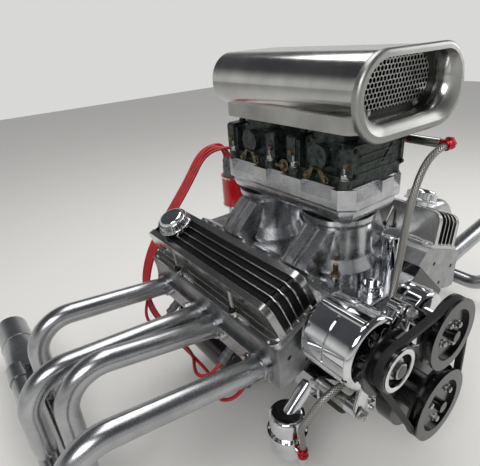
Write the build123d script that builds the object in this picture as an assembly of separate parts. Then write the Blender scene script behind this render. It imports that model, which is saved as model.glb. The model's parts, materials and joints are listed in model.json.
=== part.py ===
from build123d import *
import os
from math import acos, atan2, cos, degrees, hypot, pi, radians, sin, tan

# Hot rod V8 engine with a tunnel ram intake, two carburettors and an air scoop.
# Millimetres. The origin is on the crankshaft axis at the block's rear face.
# +Z is up, the engine's front faces -Y and its left side is +X.
# A station is a distance forward of the rear face, so station 100 is y = -100.
# Both banks are drawn on the +X side, and the right one is mirrored.

# Fits
seat = 0.3            # gap between pieces that are bolted together
running = 0.3         # radial gap round a turning shaft

# Block
block_length = 513.0
deck_height = 229.0   # crank axis to deck, along the bore
deck_half = 75.0      # half width of a deck
bank_angle = 45.0
bank_offset = 22.0    # the left bank stands this far forward of the right one
rail_half = 132.0     # half width at the pan rail
wall_low = (150.0, 44.0)
valley_top = 190.0
front_half = 95.0     # half width of the front face past the shorter bank
cap_half = 60.0       # main caps below the pan rail
cap_depth = 55.0
bell_depth = 14.0
bell_half = 230.0
bell_drop = 25.0
bell_hole_r = 5.5
# bell housing bolts: half spacing, height
bell_bolts = [(200.0, 0.0), (165.0, 118.0), (60.0, 180.0)]
pad_out = 168.0       # side pads for the engine mounts and the fuel pump
pad_low = 5.0
pad_high = 58.0
mount_start = 250.0
mount_length = 80.0
mount_ear = 52.0
mount_pin_r = 6.5
mount_pin_out = 34.0  # from the pad
mount_pin_drop = 22.0 # below the pad's top
plug_stations = [92.0, 375.0]             # core plugs in each side
core_plug_r = 19.0
core_plug_depth = 4.0
pump_pad_setback = 93.0                   # from the block's front face
pump_pad_start = block_length - pump_pad_setback
pump_pad_length = 70.0

filter_place = (178.0, 80.0)
filter_top = -16.0
filter_r = 46.0
filter_length = 98.0

# Crankshaft line
shaft_r = 30.0
damper_r = 85.0
damper_gap = 49.0     # from the block's front face
damper_start = block_length + damper_gap
damper_width = 34.0
crank_pulley_r = 80.0
belt_gap = 78.0
belt_station = damper_start + belt_gap    # middle of the belt
belt_width = 14.0
belt_thick = 8.0
groove_depth = 9.0
pulley_flange = 5.0
flexplate_r = 162.0
flexplate_gap = 10.0
flexplate_thick = 4.0
ring_gear_width = 10.0
ring_gear_depth = 9.0
converter_circle_r = 136.5
converter_bolts = 3

# Oil pan
pan_start = 17.0
pan_setback = 8.0
pan_end = block_length - pan_setback
pan_rail = 6.0
pan_wall = 4.0
sump_depth = 190.0
sump_length = 240.0
sump_slope = 30.0
shallow_depth = 85.0
sump_half = 112.0
pan_bend = 18.0
pan_edge = 12.0

# Timing cover: half outline, depth, and its two round bosses
timing_outline = [(36.0, 176.0), (66.0, 140.0), (92.0, 60.0), (92.0, 10.0), (80.0, -58.0)]
timing_depth = 28.0
timing_edge = 5.0
cam_boss = (115.0, 60.0, 36.0)            # height, radius, depth
crank_boss = (68.0, 40.0)                 # radius, depth

# Heads
head_setback = 31.0   # how much shorter a head is than the block
head_length = block_length - head_setback
head_start = 5.0
port_face = 275.0
port_height = 124.0
face_low = 98.0       # exhaust face, low and high edge
face_high = 152.0
head_knee = 255.0     # where the underside meets the exhaust face's foot
head_inner = 134.0
end_holes = [(172.0, 196.0), (205.0, 132.0), (250.0, 160.0)]
end_hole_r = 5.0
end_hole_depth = 22.0
rail_outer = (281.0, 188.0)
rail_inner = (150.0, 241.0)
# exhaust ports and intake ports, from the head's middle
exhaust_ports = [-191.5, -32.0, 32.0, 191.5]
intake_ports = [-129.0, -95.0, 95.0, 129.0]
plug_places = [-160.0, -75.0, 75.0, 160.0]
plug_root = (245.0, 101.0)
plug_lean = (0.8, -0.6)
plug_r = 9.0
plug_depth = 14.0
boot_r = 10.5
boot_length = 46.0

# Valve covers, in their own frame on the head's rail
cover_setback = 10.0  # how much shorter a cover is than its head
cover_length = head_length - cover_setback
cover_half = 70.0
cover_flange = 8.0
cover_height = 76.0
cover_corner = 18.0
cover_end_gap = 6.0   # from the flange's end to the body
cover_end_lean = 8.0
cover_end_r = 20.0
plinth_half = 60.0
plinth_height = 4.0
body_half = 49.0
recess_depth = 11.0   # panel set back into each side
recess_foot = 6.0
recess_head = 16.0
recess_end = 22.0
recess_lean = 34.0
recess_r = 7.0
band_width = 14.0
fin_width = 3.0
fin_height = 5.0
fin_places = [-18.3, 0.0, 18.3]
cross_rib = 2.5
cross_rib_inset = 16.0                    # from the top's end
bolt_places = [-108.0, 108.0]
bolt_r = 3.5
nut_r = 7.5
nut_height = 7.0
breather_r = 39.0
breather_height = 40.0
breather_step = 4.0   # from the rim in to the skirt
breather_dome = 9.0
flute_count = 24
flute_r = 2.2
breather_place = 92.0  # from the cover's end

# Intake
base_start = 2.0
base_setback = 73.0   # room in front of the base for its apron
base_length = block_length - base_setback
stack_lead = 43.0     # the stack's middle stands this far forward of the base's
stack_middle = base_start + base_length / 2 + stack_lead
base_top = 232.0
base_dish = 92.0      # half width of the low middle
base_edge = (118.0, 246.0)
base_outer = 238.0
apron_length = 70.0
apron_top = 198.0
pedestal_top = 251.0  # under the magneto
pedestal_edge = 5.0
sensor_boss_r = 13.0
sensor_boss_height = 4.0
neck_r = 77.0
neck_height = 20.0
neck_edge = 10.0
neck_top = 347.0
neck_reach = 111.0    # each neck, from the stack's middle
neck_stations = [stack_middle - neck_reach, stack_middle + neck_reach]
column_r = 72.0
column_flare = 12.0
column_flare_height = 26.0
port_pitch = 112.0    # from the intake's middle to the middle of a runner pair
runner_pair = 17.0    # half spacing in a pair
runner_width = 31.0
runner_foot = (112.0, 240.0)
runner_foot_depth = 46.0
runner_foot_lean = 0.62
runner_head = (54.0, 326.0)
runner_head_depth = 48.0
runner_head_lean = 0.12
runner_shift = 10.0   # the runners' heads stand this far forward of the neck
runner_rib = 5.0
runner_rib_height = 3.0
web_width = 12.0
web_inset = 12.0

# Plenum
plenum_reach = 177.0  # the plenum's rear, behind the stack's middle
plenum_start = stack_middle - plenum_reach
plenum_length = 384.0
plenum_half = 90.0
plenum_corner = 24.0
rim_height = 44.0
rim_top = 426.0
notch_height = 24.0   # sloped recesses between the rim's bosses
notch_depth = 11.0
# from the plenum's rear, start and end
notch_spans = [(34.0, 115.0), (158.0, 205.0), (264.0, 344.0)]
side_notches = [(plenum_start + low, plenum_start + high) for low, high in notch_spans]
end_notches = [(-66.0, 8.0), (42.0, 64.0)]
belly_inset = 8.0
belly_r = 30.0

# Carburettors
carb_lead = 14.0      # their middle, forward of the stack's middle
carb_pitch = 206.0
carb_stations = [stack_middle + carb_lead - carb_pitch / 2,
                 stack_middle + carb_lead + carb_pitch / 2]
carb_base = (136.0, 148.0, 16.0)
carb_body = (118.0, 104.0, 60.0)
carb_corner = 10.0
stud_places = (71.4, 65.9)
ear_r = 12.0
stud_r = 4.0
stud_height = 20.0
metering = (140.0, 8.0, 54.0)
bowl = (150.0, 24.0, 62.0)
bowl_lift = 1.0
bowl_corner = 8.0
bowl_rim = 9.0
bowl_recess = 2.5
horn_r = 62.0
diaphragm = (24.0, 18.0, 32.0)            # radius, reach, height over the flange
shaft_end_r = 5.0
shaft_end = 7.0
shaft_half = 24.0     # half spacing of the throttle shafts
shaft_height = 8.0

# Small fittings
log_place = (96.0, 488.0)
log_r = 9.0
log_reach = 60.0      # how far the log's front end stands before the carburettor
inlet_r = 6.0
link_out = 22.0       # from the throttle plate's side
link_height = 12.0
link_r = 3.0
sensor_x = -72.0
sensor_inset = 8.0    # from the intake's end
sensor_hex = (9.0, 9.0)
sensor_tip = (5.5, 26.0)
thermostat_x = -24.0
thermostat_inset = 25.0                   # from the apron's front
thermostat_flange = (25.0, 8.0)
thermostat_neck = (21.0, 14.0)
thermostat_wall = 3.5
filler_x = 60.0
filler_lead = 28.0    # forward of the intake base
filler_place = (filler_x, base_start + base_length + filler_lead)
filler_r = 20.0
filler_top = 286.0
filler_cap = (23.0, 16.0)
filler_cap_edge = 6.0

# Scoop
skirt_bottom = 527.0
skirt_reach = 157.0   # the skirt's rear, behind the stack's middle
skirt_start = stack_middle - skirt_reach
skirt_length = 367.0
skirt_half = 90.0
skirt_corner = 22.0
skirt_plate = 4.0
plate_hole_r = 54.0
scoop_wall = 3.5
tube_half = 118.0
tube_bottom = 550.0
tube_top = 658.0
tube_overhang = 2.0   # past the skirt's rear
tube_rear = skirt_start - tube_overhang
tube_end_r = 9.0
flare_gap = 11.0      # from the skirt's front
flare_start = skirt_start + skirt_length + flare_gap
bell_lead = 28.0
bell_middle = flare_start + bell_lead
bell_share = 0.24     # how far the bell has opened at its middle
mouth_lead = 42.0
mouth_station = flare_start + mouth_lead
mouth_half = 147.0
mouth_bottom = 521.0
mouth_top = 661.0
lip_width = 9.0
lip_thick = 16.0
lip_r = 7.0
screen_inset = 6.0    # behind the flare
screen_station = flare_start - screen_inset
screen_thick = 3.0
screen_hole_r = 6.6
screen_pitch = 15.0
screen_rim = 5.0

# Headers
flange_thick = 9.0
flange_height = 36.0
flange_pad_r = 28.0
flange_end = 30.0
primary_r = 22.5
primary_bend = 75.0
# each tube from the rear: how far out it drops, its height at the collector, its rise
primary_drops = [(601.0, -60.0, 0.13), (654.0, -60.0, 0.09),
                 (601.0, -113.0, 0.2), (654.0, -113.0, 0.165)]
collector_station = -70.0
collector_socket = 36.0
collector_cone = 154.0
collector_pipe = 110.0
collector_r = 44.5
collector_wall = 2.5

# Front drive: centre x, centre z, pulley radius
crank_centre = (0.0, 0.0)
pump_centre = (0.0, 176.0)
pump_pulley_r = 72.0
alternator_centre = (-168.0, 198.0)
alternator_pulley_r = 42.0
alternator_r = 70.0
alternator_length = 112.0
alternator_back = 17.0                    # behind the block's front face
alternator_start = block_length - alternator_back
case_boss_r = 8.0
case_boss_reach = 66.0
case_boss_angles = [16.0, 106.0, 196.0, 286.0]
vent_count = 8
vent_reach = 40.0
vent_size = (22.0, 12.0)
vent_depth = 14.0
case_edge = 12.0
seam_width = 4.0
seam_depth = 4.0
fan_r = 60.0
fan_plate = 3.0
fan_gap = 6.0         # from the case to the blades
blade_count = 10
blade_size = (24.0, 2.0)
blade_pitch = 30.0    # degrees
lug_r = 13.0
lug_depth = 26.0
lug_bolt_r = 5.5
# angle from +X in degrees, reach
low_lug = (-107.0, 113.0)
high_lug = (40.0, 91.0)
arm_width = 24.0
arm_sweep = 24.0      # degrees about the lower lug
arm_thick = 7.0
slot_sweep = 10.0
bracket_foot = (-112.0, 16.0)
bracket_thick = 10.0
bracket_r = 12.0
pump_body_r = 58.0
pump_body_depth = 44.0
pump_leg_half = 77.0
pump_leg_r = 20.0
pump_leg_length = 42.0
pump_leg_drop = 4.0
pump_nose_r = 26.0
pump_nose_gap = 6.0

# Magneto
magneto_station = 12.0
magneto_r = 44.0
magneto_base_r = 26.0
magneto_low = 257.0
magneto_high = 345.0
cap_inset = 6.0
cap_height = 26.0
tower_count = 8
tower_reach = 30.0
tower_r = 6.0
tower_height = 14.0

# Plug leads, from the magneto's towers behind the covers and along to the plugs
lead_r = 4.0
lead_pitch = 10.5
lead_first = 3.0      # the first lead's distance behind the block's rear face
lead_spread = 0.45    # keeps the front lead clear of the next one over the towers
lead_run_x = 306.0
lead_run_top = 38.0
# x and z of the way down behind the cover
lead_way = [(86.0, 417.0), (134.0, 352.0), (184.0, 298.0), (236.0, 240.0), (280.0, 180.0),
            (302.0, 118.0)]

# Fuel line, from the log's front end down to the pump
line_r = 6.5
fitting_r = 10.5
fitting_length = 18.0
line_way = [(86.0, -541.0, 488.0), (60.0, -541.0, 485.0), (32.0, -541.0, 472.0),
            (8.0, -542.0, 444.0), (-6.0, -542.0, 400.0), (-14.0, -541.0, 350.0),
            (-20.0, -542.0, 302.0), (-34.0, -545.0, 258.0), (-56.0, -554.0, 218.0),
            (-84.0, -569.0, 182.0), (-104.0, -566.0, 141.0), (-143.0, -566.0, 116.0),
            (-182.0, -563.0, 114.0), (-213.0, -559.0, 112.0), (-241.0, -552.0, 95.0),
            (-258.0, -543.0, 64.0), (-261.0, -529.0, 30.0), (-254.0, -517.0, -2.0),
            (-242.0, -511.0, -34.0), (-242.0, -511.0, -68.0)]

# Fuel pump and starter
pump_plate = 9.0
pump_plate_half = 32.0
pump_arm_r = 15.0
pump_can = (64.0, 38.0, -128.0, -16.0)    # out from the pad, radius, low, high
pump_can_edge = 10.0
starter_centre = (-178.0, -83.0)
starter_r = 50.0
starter_nose_r = 34.0
starter_start = 40.0
starter_length = 190.0


def prism(points, start, length):
    """A section in x and z, run forward from a station."""
    face = Plane.XZ.offset(start) * make_face(Polyline(*points, close=True))
    return extrude(face, amount=length, dir=(0, -1, 0))


def block_of(x, y, z):
    """A box between two corners, with each axis as (low, high)."""
    size = Box(x[1] - x[0], y[1] - y[0], z[1] - z[0])
    return Pos((x[0] + x[1]) / 2, (y[0] + y[1]) / 2, (z[0] + z[1]) / 2) * size


def rod(start, end, radius):
    """A round bar between two points."""
    a, b = Vector(*start), Vector(*end)
    return Solid.make_cylinder(radius, (b - a).length, Plane(origin=a, z_dir=b - a))


def disc(centre, station, width, radius):
    """A disc about a line along Y, run forward from a station."""
    x, z = centre
    return rod((x, -station, z), (x, -station - width, z), radius)


def on_side(part, side):
    """The part as drawn for the left bank, or its mirror for the right."""
    return part if side > 0 else mirror(part, about=Plane.YZ)


def save(name, part):
    export_step(part, f"parts/{name}.step")
    return part


def both(points):
    """A right-left symmetric outline from its +X half, top to bottom."""
    return points + [(-x, z) for x, z in reversed(points)]


def bank_point(along, across):
    """The point at a height up the bore and a distance across the deck."""
    c = cos(radians(bank_angle))
    s = sin(radians(bank_angle))
    return (s * along + c * across, c * along - s * across)


def valley_half(height):
    """Half width between the banks at a height."""
    x, z = bank_point(deck_height, -deck_half)
    return height - (z - x)


def make_block():
    """Block with both banks, main caps, bell housing flange and crank bore."""
    deck_in = bank_point(deck_height, -deck_half)
    deck_out = bank_point(deck_height, deck_half)
    valley = (valley_half(valley_top), valley_top)
    body = [valley, deck_in, deck_out, wall_low, (rail_half, 0)]
    caps = [(cap_half, 0), (cap_half, -cap_depth)]
    block = prism(both(body + caps), 0, block_length)
    ear = [valley, deck_in, deck_out, (bell_half, 30), (bell_half, -bell_drop),
           (cap_half, -bell_drop), (cap_half, -cap_depth)]
    block += prism(both(ear), 0, bell_depth)
    x, station = filter_place
    block += rod((x, -station, filter_top), (x, -station, wall_low[1]), filter_r - 3)
    wall = front_half
    step = block_length - bank_offset
    block -= block_of((-bell_half, -wall), (-block_length - 1, -step), (pad_high, deck_out[0]))
    block -= block_of((wall, bell_half), (-bank_offset, -bell_depth), (pad_high, deck_out[0]))
    for side in (-1, 1):
        x = sorted((side * (rail_half - 6), side * pad_out))
        block += block_of(x, (-mount_start - mount_length, -mount_start), (pad_low, pad_high))
        for station in plug_stations:
            middle = Vector(side * (wall_low[0] + deck_out[0]) / 2, -station,
                            (wall_low[1] + deck_out[1]) / 2)
            out = Vector(side, 0, -1).normalized()
            block -= rod(middle - out * core_plug_depth, middle + out * core_plug_depth,
                         core_plug_r)
    block += block_of((-pad_out, -rail_half + 6),
                      (-pump_pad_start - pump_pad_length, -pump_pad_start), (pad_low, pad_high))
    block -= disc(crank_centre, -1, block_length + 2, shaft_r + running)
    for half, height in bell_bolts:
        for side in (-1, 1):
            block -= disc((side * half, height), -1, bell_depth + 2, bell_hole_r)
    return block


def make_pan():
    """Oil pan with a deep rear sump and a shallow front, open at the top."""
    low, top = -sump_depth, -seat

    def shell(inset, lid):
        side = make_face(Polyline(
            (-pan_start - inset, lid), (-pan_start - inset, low + inset),
            (-sump_length + inset, low + inset),
            (-sump_length - sump_slope + inset, -shallow_depth + inset),
            (-pan_end + inset, -shallow_depth + inset), (-pan_end + inset, lid), close=True))
        bends = [v for v in side.vertices() if v.Y < lid - 1]
        side = fillet(bends, pan_bend - inset)
        half = sump_half - inset
        body = extrude(Plane.YZ.offset(-half) * side, amount=2 * half, dir=(1, 0, 0))
        edges = [e for e in body.edges() if abs(abs(e.center().X) - half) < 0.1
                 and e.center().Z < lid - pan_bend]
        return fillet(edges, pan_edge - inset)

    rail = block_of((-rail_half, rail_half), (-pan_end, -pan_start), (top - pan_rail, top))
    pan = shell(0, top) + rail - shell(pan_wall, top + 1)
    return pan - block_of((-cap_half - seat, cap_half + seat), (-block_length, 0),
                          (-cap_depth - seat, 1))


def make_crankshaft():
    """Shaft from the flexplate's flange to the damper's nose."""
    nose = damper_start + damper_width
    shaft = disc(crank_centre, -flexplate_gap, nose + flexplate_gap, shaft_r)
    return shaft + disc(crank_centre, -flexplate_gap, flexplate_gap - 2, shaft_r + 14)


def make_flexplate():
    """Drive plate with its starter ring gear."""
    back = -flexplate_gap - flexplate_thick
    plate = disc(crank_centre, back, flexplate_thick, flexplate_r)
    for i in range(converter_bolts):
        a = radians(90 + 360 * i / converter_bolts)
        hole = (converter_circle_r * cos(a), converter_circle_r * sin(a))
        plate -= disc(hole, back - 1, flexplate_thick + 2, bell_hole_r)
    ring = disc(crank_centre, back - 3, ring_gear_width, flexplate_r)
    ring -= disc(crank_centre, back - 4, ring_gear_width + 2, flexplate_r - ring_gear_depth)
    return plate + ring


def make_damper():
    """Vibration damper with the crank pulley in front of it."""
    damper = disc(crank_centre, damper_start, damper_width, damper_r)
    damper -= disc(crank_centre, damper_start - 1, damper_width + 1, shaft_r)
    front = damper_start + damper_width
    hub_length = belt_station - belt_width / 2 - pulley_flange - front
    damper += disc(crank_centre, front, hub_length + 1, shaft_r + 10)
    return damper + make_pulley(crank_centre, crank_pulley_r, 12)


def make_pulley(centre, radius, bolt_r):
    """Pulley with one groove for the belt and a bolt head in front."""
    width = belt_width + 2 * pulley_flange
    start = belt_station - width / 2
    body = disc(centre, start, width, radius)
    groove_r = radius - groove_depth
    groove = disc(centre, belt_station - belt_width / 2, belt_width, radius + 1)
    groove -= disc(centre, belt_station - belt_width / 2, belt_width, groove_r)
    face = disc(centre, start + width - 8, 9, radius * 0.72)
    return body - groove - face + disc(centre, start, width + 6, bolt_r)


def make_belt():
    """One closed loop over the three pulleys, a hair off their grooves."""
    # pulleys in order round the loop: centre, radius
    wheels = [(crank_centre, crank_pulley_r), (pump_centre, pump_pulley_r),
              (alternator_centre, alternator_pulley_r)]

    def loop(grow):
        tangents = []
        for i, (centre, radius) in enumerate(wheels):
            following, other = wheels[(i + 1) % len(wheels)]
            dx, dz = following[0] - centre[0], following[1] - centre[1]
            turn = atan2(dz, dx) - acos((radius - other) / hypot(dx, dz))
            tangents.append(turn)
        edges = []
        for i, (centre, radius) in enumerate(wheels):
            size = radius - groove_depth + running + grow
            first, last = tangents[i - 1], tangents[i]
            while last < first:
                last += 2 * pi
            ends = [(centre[0] + size * cos(a), centre[1] + size * sin(a))
                    for a in (first, (first + last) / 2, last)]
            edges.append(ends)
        lines = []
        for i, ends in enumerate(edges):
            lines.append(ThreePointArc(*ends))
            lines.append(Line(ends[2], edges[(i + 1) % len(edges)][0]))
        return make_face(Curve() + lines)

    start = belt_station - belt_width / 2 + running
    face = Plane.XZ.offset(start) * (loop(belt_thick) - loop(0))
    return extrude(face, amount=belt_width - 2 * running, dir=(0, -1, 0))


def make_timing_cover():
    """Front cover over the crank and cam gears."""
    start = block_length + seat
    cover = prism(both(timing_outline), start, timing_depth)
    cover = fillet(cover.edges().group_by(Axis.Y)[0], timing_edge)
    height, radius, depth = cam_boss
    cover += disc((0, height), start, depth, radius)
    cover += disc(crank_centre, start, crank_boss[1], crank_boss[0])
    return cover - disc(crank_centre, start - 1, crank_boss[1] + 2, shaft_r + running)


def make_head():
    """Cylinder head: deck face, exhaust face, cover rail and intake face."""
    inner = bank_point(deck_height + seat, -deck_half)
    outer = bank_point(deck_height + seat, deck_half)
    section = [inner, outer, (head_knee, face_low), (port_face, face_low),
               (port_face, face_high), rail_outer, rail_inner,
               (head_inner, head_inner + inner[1] - inner[0])]
    head = prism(section, head_start, head_length)
    for place in plug_places:
        root, along = plug_axis(head_start + head_length / 2 + place)
        head -= rod(root - along * plug_depth, root + along * 30, plug_r + running)
    for hole in end_holes:
        for start in (head_start - 1, head_start + head_length - end_hole_depth):
            head -= disc(hole, start, end_hole_depth + 1, end_hole_r)
    return head


def plug_axis(station):
    """Where a spark plug leaves the head, and which way it points."""
    x, z = plug_root
    return Vector(x, -station, z), Vector(plug_lean[0], 0, plug_lean[1])


def cover_plane(station):
    """The rail's plane, with x out along the rail, and z away from the head."""
    middle = Vector((rail_outer[0] + rail_inner[0]) / 2, -station,
                    (rail_outer[1] + rail_inner[1]) / 2)
    out = Vector(rail_outer[0] - rail_inner[0], 0, rail_outer[1] - rail_inner[1])
    up = Vector(-out.Z, 0, out.X)
    return Plane(origin=middle, x_dir=out, z_dir=up)


def make_cover():
    """Finned valve cover: bands and fins run over the top and down both ends."""
    half = cover_length / 2
    foot = half - cover_end_gap
    crown = foot - cover_end_lean

    def arch(place, width, grow):
        """The side outline, which leans in at both ends, across a width."""
        low, high = cover_flange, cover_height + grow
        side = make_face(Polyline((foot + grow, low), (crown + grow, high),
                                  (-crown - grow, high), (-foot - grow, low), close=True))
        side = fillet(side.vertices().group_by(Axis.Y)[-1], cover_end_r + grow)
        face = Plane.YZ.offset(place - width / 2) * side
        return extrude(face, amount=width, dir=(1, 0, 0))

    cover = arch(0, 2 * body_half, 0)
    for side in (-1, 1):
        cover += arch(side * (body_half - band_width / 2), band_width, fin_height)
    for place in fin_places:
        cover += arch(place, fin_width, fin_height)
    low, high = cover_flange + recess_foot, cover_height - recess_head
    end = foot - recess_end
    panel = make_face(Polyline((end, low), (end - recess_lean, high),
                               (-end + recess_lean, high), (-end, low), close=True))
    panel = fillet(panel.vertices(), recess_r)
    start = body_half - recess_depth
    for place in (start, -body_half - 1):
        cover -= extrude(Plane.YZ.offset(place) * panel, amount=recess_depth + 1, dir=(1, 0, 0))
    rib_end = crown - cross_rib_inset
    gap = body_half - band_width
    for y in (-rib_end, rib_end):
        cover += block_of((-gap, gap), (y - cross_rib / 2, y + cross_rib / 2),
                          (cover_height - 1, cover_height + fin_height - 1))
    flange = extrude(RectangleRounded(2 * cover_half, cover_length, cover_corner),
                     amount=cover_flange)
    plinth = extrude(RectangleRounded(2 * plinth_half, 2 * foot + 4, cover_corner),
                     amount=cover_flange + plinth_height)
    cover += flange + plinth
    for side in (-1, 1):
        for y in bolt_places:
            seat_x = side * (cover_half - nut_r - 1)
            cover += rod((side * (body_half - 3), y, cover_height - recess_head + 4),
                         (seat_x, y, cover_flange + 1), bolt_r)
            cover += rod((seat_x, y, cover_flange - 1), (seat_x, y, cover_flange + nut_height),
                         nut_r)
    return Pos(0, 0, seat) * cover


def make_breather():
    """Round push-in breather: a fluted skirt under a domed cap."""
    r, h = breather_r, breather_height
    crown = r - breather_step - 2 * flute_r
    stem = Cylinder(r - 9, 12, align=(Align.CENTER, Align.CENTER, Align.MIN))
    rim = Pos(0, 0, 11) * Cylinder(r, 5, align=(Align.CENTER, Align.CENTER, Align.MIN))
    rim = fillet(rim.edges().filter_by(GeomType.CIRCLE), 1.5)
    skirt = Circle(r - breather_step)
    for i in range(flute_count):
        a = 2 * pi * i / flute_count
        reach = r - breather_step + flute_r / 3
        skirt -= Pos(reach * cos(a), reach * sin(a)) * Circle(flute_r)
    dome = Pos(0, 0, 15) * Cylinder(crown, h - 15, align=(Align.CENTER, Align.CENTER, Align.MIN))
    dome = fillet(dome.edges().group_by(Axis.Z)[-1], breather_dome)
    return stem + rim + Pos(0, 0, 15) * extrude(skirt, amount=h - 15 - breather_dome) + dome


def make_intake_base():
    """Valley plate with two columns and eight runners that gather into round necks."""
    reach = seat * 2
    low = valley_top + reach
    foot = (valley_half(low) - reach, low)
    outer = (valley_half(base_outer) - reach, base_outer)
    base = prism(both([(base_dish, base_top), base_edge, outer, foot]), base_start, base_length)
    end = base_start + base_length
    apron = [(valley_half(apron_top) - reach, apron_top), foot]
    base += prism(both(apron), end, apron_length)
    y = -magneto_station
    base += rod((0, y, low), (0, y, pedestal_top), magneto_base_r + pedestal_edge)
    y = sensor_inset - end
    base += rod((sensor_x, y, low + 10), (sensor_x, y, base_top + sensor_boss_height),
                sensor_boss_r)
    middle = head_start + (head_length + bank_offset) / 2
    for neck, side in zip(neck_stations, (-1, 1)):
        base += Pos(0, -neck, 0) * make_neck(low)
        for offset_y in (-runner_pair, runner_pair):
            runner = make_runner(middle + side * port_pitch + offset_y,
                                 neck + runner_shift + offset_y)
            base += [runner, mirror(runner, about=Plane.YZ)]
        web = make_web(middle + side * port_pitch, neck + runner_shift)
        base += [web, mirror(web, about=Plane.YZ)]
    return base


def make_neck(low):
    """One column, flared at its foot, and the round neck on it."""
    under = neck_top - neck_height
    flare = base_top + column_flare_height
    outline = Polyline((0, low), (column_r + column_flare, low),
                       (column_r + column_flare, base_top), (column_r, flare),
                       (column_r, under), (neck_r, under + neck_edge), (neck_r, neck_top),
                       (0, neck_top), close=True)
    return revolve(Plane.XZ * make_face(outline), Axis.Z)


def runner_planes(foot_station, head_station):
    """The planes across a runner at its foot and at its head, on the left side."""
    foot = Plane(origin=(runner_foot[0], -foot_station, runner_foot[1]), x_dir=(0, 1, 0),
                 z_dir=(-runner_foot_lean, 0, (1 - runner_foot_lean ** 2) ** 0.5))
    head = Plane(origin=(runner_head[0], -head_station, runner_head[1]), x_dir=(0, 1, 0),
                 z_dir=(-runner_head_lean, 0, 1))
    return foot, head


def make_runner(foot_station, head_station):
    """One runner with a raised rib along each outer edge."""
    foot, head = runner_planes(foot_station, head_station)
    runner = loft([foot * Rectangle(runner_width, runner_foot_depth),
                   head * Rectangle(runner_width, runner_head_depth)], ruled=True)
    rib = Rectangle(runner_rib, runner_rib_height + 1)
    for side in (-1, 1):
        x = side * (runner_width - runner_rib) / 2
        ends = []
        for plane, depth in ((foot, runner_foot_depth), (head, runner_head_depth)):
            ends.append(plane * Pos(x, -(depth + runner_rib_height - 1) / 2) * rib)
        runner += loft(ends, ruled=True)
    return runner


def make_web(foot_station, head_station):
    """The wall in the groove between a pair of runners."""
    foot, head = runner_planes(foot_station, head_station)
    return loft([foot * Rectangle(web_width, runner_foot_depth - web_inset),
                 head * Rectangle(web_width, runner_head_depth - web_inset)], ruled=True)


def make_plenum():
    """Plenum box: a rounded belly under a wide rim with sloped recesses."""
    length = plenum_length
    outline = chamfer(Rectangle(2 * plenum_half, length).vertices(), plenum_corner)
    under = rim_top - rim_height
    rim = extrude(outline, amount=rim_height)
    rim = fillet(rim.edges().group_by(Axis.Z)[0], belly_inset - 1)
    low = neck_top + seat
    belly = extrude(offset(outline, -belly_inset), amount=rim_top - low - 1)
    belly = fillet(belly.edges().group_by(Axis.Z)[0], belly_r)
    plenum = Pos(0, -plenum_start - length / 2, under) * rim
    plenum += Pos(0, -plenum_start - length / 2, low) * belly
    wedge = Polyline((plenum_half, rim_top - notch_height), (plenum_half + 1, rim_top + 1),
                     (plenum_half - notch_depth, rim_top + 1),
                     (plenum_half - notch_depth, rim_top), close=True)
    for first, last in side_notches:
        cut = extrude(Plane.XZ.offset(first) * make_face(wedge), amount=last - first,
                      dir=(0, -1, 0))
        plenum -= [cut, mirror(cut, about=Plane.YZ)]
    for end, turn in ((plenum_start, 1), (plenum_start + length, -1)):
        wedge = Polyline((-end, rim_top - notch_height), (-end + turn, rim_top + 1),
                         (-end - turn * notch_depth, rim_top + 1),
                         (-end - turn * notch_depth, rim_top), close=True)
        for first, last in end_notches:
            plenum -= extrude(Plane.YZ.offset(first) * make_face(wedge), amount=last - first,
                              dir=(1, 0, 0))
    return plenum


def carb_half():
    """From the middle of a carburettor to the outside of a bowl."""
    return carb_body[1] / 2 + metering[1] + bowl[1]


def make_carb(station):
    """Four barrel carburettor: throttle plate, body, metering blocks, bowls and horn."""
    low = rim_top + seat
    top = low + carb_base[2]

    def across(size, start, z, corner):
        """A rounded slab across the engine, run forward from a station."""
        outline = Pos(0, z + size[2] / 2) * RectangleRounded(size[0], size[2], corner)
        return extrude(Plane.XZ.offset(start) * outline, amount=size[1], dir=(0, -1, 0))

    place = Pos(0, -station, 0)
    carb = place * Pos(0, 0, low) * extrude(
        RectangleRounded(carb_base[0], carb_base[1], carb_corner), amount=carb_base[2])
    for x in (-stud_places[0], stud_places[0]):
        for y in (-station - stud_places[1], -station + stud_places[1]):
            carb += rod((x, y, low), (x, y, top), ear_r)
            carb += rod((x, y, top - 1), (x, y, top + stud_height), stud_r)
    carb += place * Pos(0, 0, top - 1) * extrude(
        RectangleRounded(carb_body[0], carb_body[1] + 2, carb_corner), amount=carb_body[2] + 1)
    for end in (-1, 1):
        inner = station + end * carb_body[1] / 2
        outer = inner + end * metering[1]
        face = outer + end * bowl[1]
        carb += across(metering, min(inner, outer), top + bowl_lift, carb_corner / 2)
        carb += across(bowl, min(outer, face), top + bowl_lift, bowl_corner)
        inset = (bowl[0] - 2 * bowl_rim, bowl_recess, bowl[2] - 2 * bowl_rim)
        start = face - bowl_recess if end > 0 else face
        carb -= across(inset, start, top + bowl_lift + bowl_rim, bowl_corner / 2)
    radius, reach, height = diaphragm
    side = -carb_body[0] / 2
    carb += rod((side + 2, -station, top + height), (side - reach, -station, top + height), radius)
    for y in (-station - shaft_half, -station + shaft_half):
        end = -carb_base[0] / 2
        carb += rod((end + 2, y, low + shaft_height), (end - shaft_end, y, low + shaft_height),
                    shaft_end_r)
    return carb + rod((0, -station, top + carb_body[2] - 1), (0, -station, skirt_bottom - seat),
                      horn_r)


def oval(half, low, high):
    """A flat-sided oval in x and z, centred on the engine."""
    height = high - low
    return Pos(0, (low + high) / 2) * RectangleRounded(2 * half, height, height / 2 - 0.5)


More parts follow.
